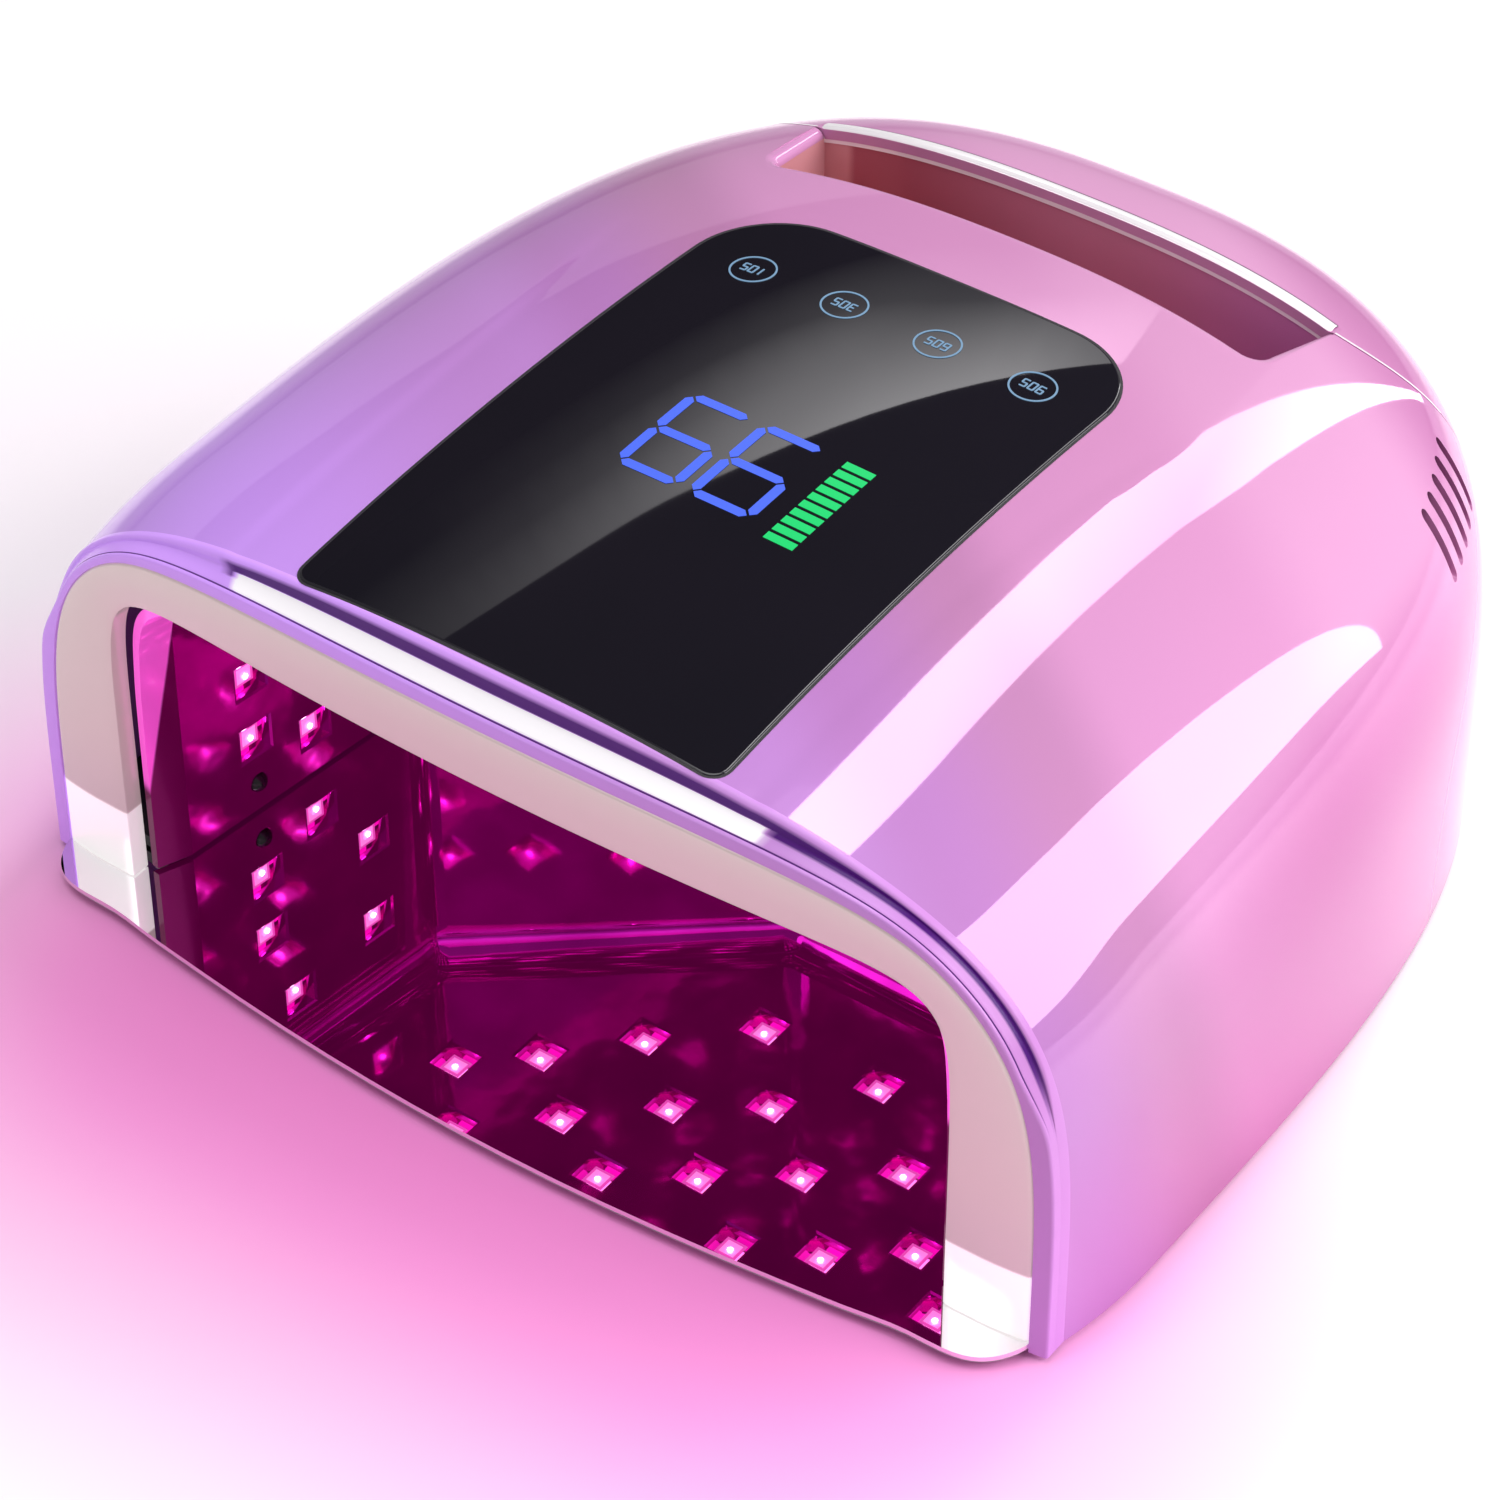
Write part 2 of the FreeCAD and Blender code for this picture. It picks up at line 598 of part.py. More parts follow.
keep(param_box("main_board", ("dimensions.main_board_width", "dimensions.board_thickness",
                              "dimensions.main_board_height"), (-48, 88.0, 11.0)), "main_board")
fins = [box(-44, -14, 76.5, 78.5, 26, 50)]
fins = [box(-44 + 5 * i, -42.6 + 5 * i, 78.0, 86.2, 26, 50) for i in range(7)]
fins.append(box(-44, -12.6, 86.2, 87.95, 26, 50))
add("heat_sink", fuse(fins))
keep(param_rod("buzzer", 6.0, 7.0, (38, 87.9, 44), V(0, -1, 0)), "buzzer")
caps = [param_rod("capacitor_%d" % i, 4.0, 12.0, (4 + 10 * i, 87.9, 46), V(0, -1, 0)) for i in range(2)]
group("capacitors", caps)

cells = []
for i in range(2):
    for j in range(2):
        cells.append(param_rod("cell_%d%d" % (i, j), "dimensions.cell_diameter / 2", "dimensions.cell_length",
                               (-32.5, 40.5 + i * D["cell_pitch"], 19.2 + j * D["cell_pitch"]), V(1, 0, 0)))
group("battery_cells", cells)
cradle = box(-37, 37, 29.6, 70.8, 7.0, 9.4)
cradle = fuse([cradle, box(-37, -35.2, 29.6, 70.8, 9.4, 30), box(35.2, 37, 29.6, 70.8, 9.4, 30),
               box(-35.2, 35.2, 29.6, 30.9, 9.4, 24), box(-35.2, 35.2, 69.5, 70.8, 9.4, 24)])
add("battery_cradle", cradle)
strips = [box(-33.2, -32.6, 36, 64.2, 15, 42.6), box(32.6, 33.2, 36, 64.2, 15, 23.4),
          box(32.6, 33.2, 36, 64.2, 34.2, 42.6)]
add("battery_strips", Part.makeCompound(strips))
keep(param_box("battery_board", (56, 15, "dimensions.board_thickness"), (-28, 42.6, 48.2)), "battery_board")

# ------------------------------------------------------------------ fan
FX, FY, FZ = 76.0, 60.0, 46.0
size, depth = D["fan_size"], D["fan_depth"]
fan = box(FX, FX + depth, FY - size / 2, FY + size / 2, FZ - size / 2, FZ + size / 2)
fan = fan.cut(rod(14.0, (FX - 1, FY, FZ), (FX + depth + 1, FY, FZ)))
for dy in (-12.2, 12.2):
    for dz in (-12.2, 12.2):
        fan = fan.cut(rod(1.3, (FX - 1, FY + dy, FZ + dz), (FX + depth + 1, FY + dy, FZ + dz)))
spokes = [rod(4.0, (FX, FY, FZ), (FX + 1.2, FY, FZ)), rod(0.95, (FX, FY, FZ), (FX + depth - 1.8, FY, FZ))]
spokes += [box(FX, FX + 1.2, FY - 14.5, FY + 14.5, FZ - 0.8, FZ + 0.8),
           box(FX, FX + 1.2, FY - 0.8, FY + 0.8, FZ - 14.5, FZ + 14.5)]
add("fan_frame", fuse([fan] + spokes))
hub = rod(5.6, (FX + 1.8, FY, FZ), (FX + depth - 0.6, FY, FZ))
blades = []
for i in range(7):
    blade = Part.makeBox(1.0, 9.6, 4.6, V(-0.5, 3.9, -2.3))
    blade.rotate(V(0, 0, 0), V(0, 1, 0), 38)
    blade.rotate(V(0, 0, 0), V(0, 0, 1), 360.0 * i / 7)
    blade.rotate(V(0, 0, 0), V(0, 1, 0), 90)
    blade.translate(V(FX + 4.6, FY, FZ))
    blades.append(blade)
rotor = fuse([hub] + blades).common(rod(13.3, (FX + 1.6, FY, FZ), (FX + depth - 0.4, FY, FZ)))
rotor = rotor.cut(rod(1.0, (FX - 1, FY, FZ), (FX + depth - 1.6, FY, FZ)))
add("fan_rotor", rotor)
bracket = fuse([box(FX + 0.5, FX + depth - 0.5, FY - 13, FY + 13, 9.2, FZ - size / 2 - 0.05),
                box(FX - 12, FX + depth - 0.5, FY - 13, FY + 13, 6.95, 9.2)])
bracket = bracket.cut(box(FX - 1, FX + depth + 1, FY - 9, FY + 9, 12, 27))
add("fan_bracket", bracket)

# ------------------------------------------------------------------ rear ports
jack = fuse([rod(5.4, (JACK.x, RECESS + 0.05, JACK.z), (JACK.x, RECESS + 1.2, JACK.z)),
             rod(4.1, (JACK.x, 98.0, JACK.z), (JACK.x, RECESS + 0.1, JACK.z))])
jack = jack.cut(rod(2.8, (JACK.x, 99.5, JACK.z), (JACK.x, 112, JACK.z)))
add("power_inlet", jack)
add("inlet_pin", rod(1.0, (JACK.x, 99.55, JACK.z), (JACK.x, 108.2, JACK.z)))
sx, sz = SWITCH.x, SWITCH.z
switch = fuse([box(sx - 8, sx + 8, RECESS + 0.05, RECESS + 1.2, sz - 11, sz + 11),
               box(sx - 6.6, sx + 6.6, 96, RECESS + 0.1, sz - 9.4, sz + 9.4)])
switch = switch.cut(box(sx - 4.6, sx + 4.6, 98.5, 112, sz - 7.4, sz + 7.4))
pivot = V(sx, 106.4, sz)
for side in (-1, 1):
    switch = switch.cut(rod(1.1, (sx + side * 4.5, pivot.y, sz), (sx + side * 5.9, pivot.y, sz)))
add("switch_frame", switch)
profile = [(3.3, -6.2), (2.1, 0.0), (3.3, 6.2), (-0.4, 6.0), (-3.6, 2.2), (-3.6, -2.2), (-0.4, -6.0)]
corners = [V(sx - 4.3, pivot.y + a, sz + b) for a, b in profile]
rocker = Part.Face(Part.makePolygon(corners + corners[:1])).extrude(V(8.6, 0, 0))
rocker = fuse([rocker, rod(1.05, (sx - 5.7, pivot.y, sz), (sx + 5.7, pivot.y, sz))])
rocker.rotate(pivot, V(1, 0, 0), -9)
add("power_rocker", rocker)

# ------------------------------------------------------------------ chassis, magnets, screws
bottom, thick = D["chassis_bottom"], D["chassis_thickness"]
floor_outline = tray_outline(-0.2, bottom, bottom + thick)
footprint = reflector_core(D["reflector_wall"] + 0.25, -5.0)
chassis = floor_outline.common(behind(8.4)).common(hood(D["wall"] + 0.2))
chassis = chassis.cut(footprint.common(box(-120, 120, -130, 60, -6, 12)))
MAGNETS = [(97.5, -58.0), (98.5, 0.0), (62.0, 78.0)]
magnet_items = []
for mx, my in MAGNETS:
    for sign in (1, -1):
        chassis = chassis.cut(rod(4.6, (sign * mx, my, 0), (sign * mx, my, bottom + 2.3)))
        magnet_items.append(param_rod("magnet", "dimensions.magnet_diameter / 2", "dimensions.magnet_height",
                                      (sign * mx, my, bottom + 0.05)))
screws = []
for bx, by in BOSSES:
    for sign in (1, -1):
        x = sign * bx
        chassis = chassis.cut(rod(1.7, (x, by, 0), (x, by, 12))).cut(rod(3.0, (x, by, 0), (x, by, bottom + 1.3)))
        screw = fuse([rod(2.8, (x, by, bottom + 0.05), (x, by, bottom + 1.25)),
                      rod(1.5, (x, by, bottom + 1.2), (x, by, 14.5))])
        screws.append(screw.cut(box(x - 1.8, x + 1.8, by - 0.3, by + 0.3, bottom, bottom + 0.6)))
add("chassis", chassis)
group("holding_magnets", magnet_items)
add("chassis_screws", Part.makeCompound(screws))

# ------------------------------------------------------------------ tray
top, plate = D["plate_top"], D["plate_thickness"]
add("mirror_plate", tray_outline(0.0, top - plate, top))
pan = tray_outline(0.8, D["pan_bottom"], top - plate - 0.02)
FEET = [(88.0, -76.0), (70.0, 66.0)]
foot_items = []
for fx, fy in FEET:
    for sign in (1, -1):
        pan = pan.cut(rod(6.05, (sign * fx, fy, 0), (sign * fx, fy, 1.65)))
        foot_items.append(param_rod("foot", "dimensions.foot_diameter / 2", "dimensions.foot_height",
                                    (sign * fx, fy, 0)))
add("tray_pan", pan)
group("rubber_feet", foot_items)

# ------------------------------------------------------------------ wiring


def cable(radius, points):
    """A round lead through a few points, with ball joints at the bends."""
    pieces = []
    for a, b in zip(points, points[1:]):
        pieces.append(rod(radius, a, b))
    for p in points[1:-1]:
        pieces.append(Part.makeSphere(radius, V(*p)))
    return fuse(pieces)


add("panel_ribbon", fuse([box(-20, -4, 22, 41.6, 91.2, 91.5), box(-20, -4, 41.3, 41.6, 60.0, 91.5),
                          box(-20, -4, 41.3, 87.3, 60.0, 60.3), box(-20, -4, 87.0, 87.3, 52.0, 60.3)]))
add("led_loom", fuse([cable(1.3, [(16, 8, 77.8), (16, 44, 77.8), (16, 44, 57), (16, 86.4, 57), (16, 86.4, 53)])]))
add("side_looms", Part.makeCompound([cable(1.2, [(93.5, -40, 30), (91, 30, 30), (60, 40, 30), (46, 86.6, 30)]),
                                     cable(1.2, [(-93.5, -40, 30), (-91, 30, 30), (-60, 40, 22), (-46, 86.6, 22)])]))
add("battery_leads", cable(1.0, [(0, 58, 50.6), (0, 74.6, 50.6), (0, 74.6, 30), (0, 86.8, 30)]))

# ------------------------------------------------------------------ checks and export
doc.recompute()
problems = []
for item in doc.Objects:
    if "Invalid" in item.State or "Error" in item.State:
        problems.append("%s: %s" % (item.Label, item.State))
for item in nodes:
    if item.Shape.isNull() or not item.Shape.isValid() or not item.Shape.Solids:
        problems.append("%s: bad shape" % item.Label)
if problems:
    raise RuntimeError("; ".join(problems))
for item in nodes:
    item.Shape.exportStep("parts/%s.step" % item.Label)
total = Part.makeCompound([item.Shape for item in nodes]).BoundBox
print("nodes", len(nodes), "bounds", total)
for item in nodes:
    b = item.Shape.BoundBox
    print("%-20s solids %3d volume %9.1f" % (item.Label, len(item.Shape.Solids), item.Shape.Volume),
          "[%.1f %.1f %.1f] [%.1f %.1f %.1f]" % (b.XMin, b.YMin, b.ZMin, b.XMax, b.YMax, b.ZMax))
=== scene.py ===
import json
import math

import bpy
import numpy as np
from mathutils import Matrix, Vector


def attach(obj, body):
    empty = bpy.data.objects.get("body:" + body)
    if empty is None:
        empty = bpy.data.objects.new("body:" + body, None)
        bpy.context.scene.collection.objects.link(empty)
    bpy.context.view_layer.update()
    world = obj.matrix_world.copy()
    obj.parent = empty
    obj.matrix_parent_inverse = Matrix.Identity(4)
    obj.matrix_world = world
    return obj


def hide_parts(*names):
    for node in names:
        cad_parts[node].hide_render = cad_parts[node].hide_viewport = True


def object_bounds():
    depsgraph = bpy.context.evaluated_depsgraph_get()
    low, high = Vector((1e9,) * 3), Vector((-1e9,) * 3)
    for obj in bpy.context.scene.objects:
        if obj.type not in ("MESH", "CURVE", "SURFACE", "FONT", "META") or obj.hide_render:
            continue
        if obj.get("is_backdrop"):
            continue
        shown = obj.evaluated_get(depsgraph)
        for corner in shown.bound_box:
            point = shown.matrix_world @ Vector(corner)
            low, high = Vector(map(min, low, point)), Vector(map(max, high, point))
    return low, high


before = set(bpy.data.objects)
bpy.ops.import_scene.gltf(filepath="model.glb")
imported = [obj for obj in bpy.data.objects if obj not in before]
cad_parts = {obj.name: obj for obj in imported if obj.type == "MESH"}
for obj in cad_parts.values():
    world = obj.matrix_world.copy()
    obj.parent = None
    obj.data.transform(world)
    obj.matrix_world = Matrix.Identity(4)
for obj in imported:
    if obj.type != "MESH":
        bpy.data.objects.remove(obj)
CAD_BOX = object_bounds()

MM = 0.001
scene = bpy.context.scene
scene.view_settings.view_transform = "Standard"
scene.view_settings.look = "None"

# ------------------------------------------------------------------ camera
AZIMUTH, ELEVATION = math.radians(36.3), math.radians(40.3)
LENS, SENSOR = 116.4, 36.0
CAMERA_AT, FARTHEST = (0.4012, -0.5712, 0.6078), 20.0
BACK = Vector((math.sin(AZIMUTH) * math.cos(ELEVATION), -math.cos(AZIMUTH) * math.cos(ELEVATION),
               math.sin(ELEVATION)))
camera = bpy.data.objects.new("camera", bpy.data.cameras.new("camera"))
scene.collection.objects.link(camera)
camera.data.lens = LENS
camera.data.sensor_width = SENSOR
camera.data.clip_end = FARTHEST
camera.location = CAMERA_AT
camera.rotation_euler = (-BACK).to_track_quat("-Z", "Y").to_euler()
scene.camera = camera

# ------------------------------------------------------------------ node helpers


def srgb(r, g, b):
    """A linear colour from sRGB levels out of 255."""
    levels = [v / 255.0 for v in (r, g, b)]
    return tuple(v / 12.92 if v <= 0.04 else ((v + 0.055) / 1.055) ** 2.4 for v in levels)


def new_material(name):
    """A material with its nodes, its links and its Principled shader."""
    finish = bpy.data.materials.new(name)
    finish.use_nodes = True
    nodes, links = finish.node_tree.nodes, finish.node_tree.links
    return finish, nodes, links, nodes["Principled BSDF"]


def set_inputs(node, values):
    for socket, value in values.items():
        node.inputs[socket].default_value = value


def color_ramp(nodes, links, source, stops, interpolation="LINEAR"):
    """The colour at a socket's value on a ramp through the given stops."""
    ramp = nodes.new("ShaderNodeValToRGB")
    ramp.color_ramp.interpolation = interpolation
    elements = ramp.color_ramp.elements
    while len(elements) < len(stops):
        elements.new(0.5)
    for element, (position, color) in zip(elements, stops):
        element.position, element.color = position, (*color, 1)
    links.new(source, ramp.inputs["Fac"])
    return ramp.outputs["Color"]


def math_node(nodes, links, operation, *values):
    """The result of a math node whose inputs are sockets or plain numbers."""
    node = nodes.new("ShaderNodeMath")
    node.operation = operation
    for socket, value in zip(node.inputs, values):
        if isinstance(value, float):
            socket.default_value = value
        else:
            links.new(value, socket)
    return node.outputs["Value"]


def map_range(nodes, links, value, span, interpolation="LINEAR"):
    """How far a socket's value has come from the start to the end of a span, between 0 and 1."""
    node = nodes.new("ShaderNodeMapRange")
    node.interpolation_type = interpolation
    node.inputs["From Min"].default_value, node.inputs["From Max"].default_value = span
    links.new(value, node.inputs["Value"])
    return node.outputs["Result"]


def mix_color(nodes, links, share, color, tint, blend="MIX"):
    """A colour socket blended with a plain tint by a share."""
    mix = nodes.new("ShaderNodeMix")
    mix.data_type, mix.blend_type = "RGBA", blend
    mix.inputs["B"].default_value = (*tint, 1)
    links.new(share, mix.inputs["Factor"])
    links.new(color, mix.inputs["A"])
    return mix.outputs["Result"]


# a drifting finish: how much darker its second colour is where none is given, depth of its bump, and its IOR
DARKER, BUMP_DEPTH, PLASTIC_IOR = 0.86, 0.0005, 1.5
# roughness of the clear coat of a drifting finish and of lacquer
COAT_ROUGHNESS, LACQUER_ROUGHNESS = 0.03, 0.02


def material(name, color, metallic=0.0, roughness=0.4, coat=0.0, emission=None, strength=0.0, second=None,
             scale=40.0, bump=0.0, detail=3.0):
    """A procedural finish: a base colour that drifts with a noise, and an optional fine bump."""
    finish, nodes, links, shader = new_material(name)
    set_inputs(shader, {"Metallic": metallic, "Roughness": roughness, "IOR": PLASTIC_IOR,
                        "Coat Weight": coat, "Coat Roughness": COAT_ROUGHNESS})
    coords = nodes.new("ShaderNodeTexCoord")
    noise = nodes.new("ShaderNodeTexNoise")
    set_inputs(noise, {"Scale": scale, "Detail": detail})
    links.new(coords.outputs["Object"], noise.inputs["Vector"])
    second = second or tuple(channel * DARKER for channel in color)
    drift = color_ramp(nodes, links, noise.outputs["Fac"], [(0.35, second), (0.65, color)])
    links.new(drift, shader.inputs["Base Color"])
    if bump:
        grain = nodes.new("ShaderNodeBump")
        set_inputs(grain, {"Strength": bump, "Distance": BUMP_DEPTH})
        links.new(noise.outputs["Fac"], grain.inputs["Height"])
        links.new(grain.outputs["Normal"], shader.inputs["Normal"])
    if emission:
        set_inputs(shader, {"Emission Color": (*emission, 1), "Emission Strength": strength})
    return finish


def gradient_material(name, stops, axis, span, metallic, roughness, coat, mottle=0.03, ior=1.45, glow=0.0,
                      change=None):
    """Lacquer whose colour shifts along one direction of the object, and that a further step may change; a
    glow makes it give off its own colour, which is painted light.
    """
    finish, nodes, links, shader = new_material(name)
    set_inputs(shader, {"Metallic": metallic, "Roughness": roughness, "Coat Weight": coat,
                        "Coat Roughness": LACQUER_ROUGHNESS, "IOR": ior})
    coords = nodes.new("ShaderNodeTexCoord").outputs["Object"]
    dot = nodes.new("ShaderNodeVectorMath")
    dot.operation = "DOT_PRODUCT"
    dot.inputs[1].default_value = axis
    links.new(coords, dot.inputs[0])
    noise = nodes.new("ShaderNodeTexNoise")
    noise.inputs["Scale"].default_value = 9.0
    links.new(coords, noise.inputs["Vector"])
    spread = mottle * (span[1] - span[0])
    along = math_node(nodes, links, "MULTIPLY_ADD", noise.outputs["Fac"], spread, dot.outputs["Value"])
    color = color_ramp(nodes, links, map_range(nodes, links, along, span), stops, "EASE")
    if change:
        color = change(nodes, links, coords, color)
    links.new(color, shader.inputs["Base Color"])
    if glow:
        links.new(color, shader.inputs["Emission Color"])
        shader.inputs["Emission Strength"].default_value = glow
    return finish


# metres outwards and backwards over which painted shade turns the plating darker, how much the first moves
# with y, and the colour of the shade that it is multiplied by
FLANK_SPAN, REAR_SPAN, FLANK_LEAN, FLANK_SHADE_TINT = (0.100, 0.113), (0.086, 0.130), 0.12, (0.76, 0.43, 0.66)


def flank_painted_shade(nodes, links, coords, color):
    """Painted shade: the plating is multiplied darker and more saturated on the flanks and round the back.
    """
    parts = nodes.new("ShaderNodeSeparateXYZ")
    links.new(coords, parts.inputs["Vector"])
    outwards = math_node(nodes, links, "ABSOLUTE", parts.outputs["X"])
    lean = math_node(nodes, links, "MULTIPLY_ADD", parts.outputs["Y"], FLANK_LEAN, outwards)
    flank = map_range(nodes, links, lean, FLANK_SPAN, "SMOOTHSTEP")
    rear = map_range(nodes, links, parts.outputs["Y"], REAR_SPAN, "SMOOTHSTEP")
    share = math_node(nodes, links, "MAXIMUM", flank, rear)
    return mix_color(nodes, links, share, color, FLANK_SHADE_TINT, "MULTIPLY")


# colours of the painted shade and of the painted highlight on the front lip
LIP_PAINTED_SHADE, LIP_PAINTED_HIGHLIGHT = srgb(74, 18, 112), (1.0, 0.97, 1.0)


def lip_painted_light(nodes, links, _coords, color):
    """Painted shade and painted highlights on the front lip's fold rows: the mesh's painted-light attribute
    picks dark plating below zero and bright above.
    """
    painted_light = nodes.new("ShaderNodeAttribute")
    painted_light.attribute_name = "painted_light"
    for sign, tint in ((-1.0, LIP_PAINTED_SHADE), (1.0, LIP_PAINTED_HIGHLIGHT)):
        share = math_node(nodes, links, "MULTIPLY", painted_light.outputs["Fac"], sign)
        share.node.use_clamp = True
        color = mix_color(nodes, links, share, color, tint)
    return color


# ------------------------------------------------------------------ finishes
# plated shell colours along PLATED_AXIS, lilac at the front left to pink at the rear right: partly the
# plating's own colour and partly painted light; the darker stops are painted shade
PLATED_AND_SHADE_STOPS = [(0.0, (0.61, 0.32, 0.92)), (0.30, (0.51, 0.24, 0.61)), (0.39, (0.46, 0.20, 0.50)),
                (0.51, (0.47, 0.205, 0.40)), (0.58, (0.57, 0.25, 0.475)), (0.71, (0.57, 0.25, 0.465)),
                (0.80, (0.61, 0.29, 0.50)), (0.90, (0.61, 0.29, 0.50)), (0.98, (0.46, 0.165, 0.36))]
PLATED_AXIS, PLATED_SPAN = (0.5, 0.8, 0.25), (-0.083, 0.130)
PLATED = gradient_material("plated_shell", PLATED_AND_SHADE_STOPS, PLATED_AXIS, PLATED_SPAN, 0.10, 0.035, 0.22,
                           change=flank_painted_shade)
# the front lip glows with its own colour as painted light, and its fold rows carry painted shade and painted
# highlights
LIP = gradient_material("plated_lip_painted_light", PLATED_AND_SHADE_STOPS, PLATED_AXIS, PLATED_SPAN, 0.0, 0.22, 0.0, ior=1.3,
                        glow=0.14, change=lip_painted_light)
# the bezel is white at the bottom and rose above, and gives off its own colour as a glow: painted light that
# brightens it
BEZEL = gradient_material("bezel_chrome", [(0.0, (0.96, 0.94, 0.93)), (0.49, (0.95, 0.93, 0.92)),
                                           (0.51, srgb(183, 167, 167)), (1.0, srgb(187, 170, 168))],
                          (0.0, 0.0, 1.0), (0.0, 0.0390), 0.2, 0.22, 0.3, mottle=0.02, glow=0.45)
TRIM = material("trim_chrome", (0.96, 0.93, 0.95), 0.25, 0.16, coat=0.4, second=(0.92, 0.88, 0.91),
                scale=30.0)
POCKET = gradient_material("pocket_rose", [(0.0, srgb(216, 152, 158)), (0.05, srgb(210, 144, 150)),
                                           (0.07, srgb(166, 82, 96)), (0.55, srgb(196, 124, 150)),
                                           (1.0, srgb(196, 122, 176))],
                           (1.0, 0.0, 0.0), (-0.057, 0.057), 0.1, 0.15, 0.4, mottle=0.004)
GLASS = material("panel_glass", (0.010, 0.0085, 0.013), 0.0, 0.02, second=(0.009, 0.008, 0.012), scale=20.0)
# the reflector's faint pink glow is painted light, standing in for the LEDs' light filling the chamber
REFLECTOR_WITH_PAINTED_GLOW = material("reflector_metal_painted_glow", (0.56, 0.012, 0.42), 1.0, 0.07, second=(0.40, 0.006, 0.29),
                     scale=60.0, bump=0.35, detail=2.0, emission=(0.5, 0.0, 0.25), strength=0.10)
# mouth flare: its dark magenta half and bright pink half are a painted reflection, and its glow is painted
# light
FLARE_PAINTED_REFLECTION = gradient_material("flare_painted_reflection", [(0.0, (0.13, 0.0, 0.06)), (0.485, (0.12, 0.0, 0.055)),
                                          (0.515, (1.0, 0.12, 0.74)), (1.0, (1.0, 0.14, 0.78))],
                          (-0.02, -0.98, 0.19), (0.0853, 0.1053), 0.3, 0.12, 0.2, mottle=0.01, glow=0.35)
PLATE = material("plate_mirror", (0.90, 0.88, 0.90), 1.0, 0.012, second=(0.87, 0.85, 0.87), scale=12.0)
LED_CHIP = material("led_glow", (1.0, 0.3, 0.75), 0.0, 0.3, emission=(1.0, 0.14, 0.66), strength=2.0)
LED_LENS = material("led_lens", (1.0, 0.4, 0.8), 0.0, 0.06, emission=(1.0, 0.22, 0.72), strength=1.7)
LED_PANE = material("led_pane", (0.5, 0.02, 0.3), 0.0, 0.2, emission=(1.0, 0.10, 0.62), strength=0.75)
LED_CORE = material("led_core", (0.8, 0.3, 0.6), 0.0, 0.2, emission=(1.0, 0.22, 0.74), strength=1.0)
LED_SPARK = material("led_spark", (1.0, 0.9, 1.0), 0.0, 0.3, emission=(1.0, 0.62, 0.92), strength=9.0)
DIGIT = material("digit_glow", (0.01, 0.02, 0.08), 0.0, 0.3, emission=srgb(74, 106, 246), strength=1.0)
CHARGE = material("charge_glow", (0.0, 0.05, 0.02), 0.0, 0.3, emission=srgb(22, 216, 112), strength=1.0)
LEGEND = material("legend_ink", (0.05, 0.08, 0.1), 0.0, 0.4, emission=srgb(112, 150, 186), strength=0.9)
BLACK = material("inner_plastic", (0.03, 0.03, 0.032), 0.0, 0.45, second=(0.02, 0.02, 0.022), scale=220.0,
                 bump=0.2)
PORT = material("port_black", (0.025, 0.025, 0.027), 0.0, 0.22, second=(0.018, 0.018, 0.02), scale=180.0,
                bump=0.05)
BOARD = material("circuit_board", (0.03, 0.22, 0.09), 0.0, 0.35, second=(0.02, 0.16, 0.06), scale=160.0,
                 bump=0.3)
LED_BOARD = material("led_board", (0.5, 0.1, 0.32), 0.2, 0.4, second=(0.4, 0.07, 0.26), scale=120.0)
SENSOR = material("sensor_black", (0.02, 0.012, 0.02), 0.0, 0.12)
STEEL = material("steel", (0.62, 0.62, 0.64), 1.0, 0.28, second=(0.5, 0.5, 0.52), scale=260.0, bump=0.1)
NICKEL = material("nickel", (0.72, 0.70, 0.66), 1.0, 0.16, second=(0.62, 0.60, 0.56), scale=140.0)
ALUMINIUM = material("heat_sink_metal", (0.70, 0.71, 0.73), 1.0, 0.32, second=(0.6, 0.61, 0.63), scale=300.0,
                     bump=0.2)
WRAP = material("cell_wrap", (0.03, 0.16, 0.5), 0.0, 0.25, second=(0.02, 0.12, 0.4), scale=70.0)
SLEEVE = material("capacitor_sleeve", (0.02, 0.025, 0.07), 0.0, 0.3)
TRAY = material("tray_plastic", (0.46, 0.44, 0.46), 0.0, 0.35, second=(0.40, 0.38, 0.40), scale=200.0,
                bump=0.15)
RUBBER = material("foot_rubber", (0.03, 0.03, 0.03), 0.0, 0.7, scale=240.0, bump=0.5)
RIBBON = material("ribbon_film", (0.62, 0.30, 0.05), 0.0, 0.3, second=(0.5, 0.22, 0.03), scale=90.0)
LEAD = material("lead_sleeve", (0.8, 0.8, 0.78), 0.0, 0.4)
RED_LEAD = material("lead_red", (0.6, 0.02, 0.02), 0.0, 0.35)
JOINT = material("joint_shadow", (0.10, 0.035, 0.09), 0.0, 0.5, second=(0.07, 0.02, 0.06), scale=200.0)
GASKET = material("adhesive_black", (0.02, 0.018, 0.022), 0.0, 0.6, scale=180.0)

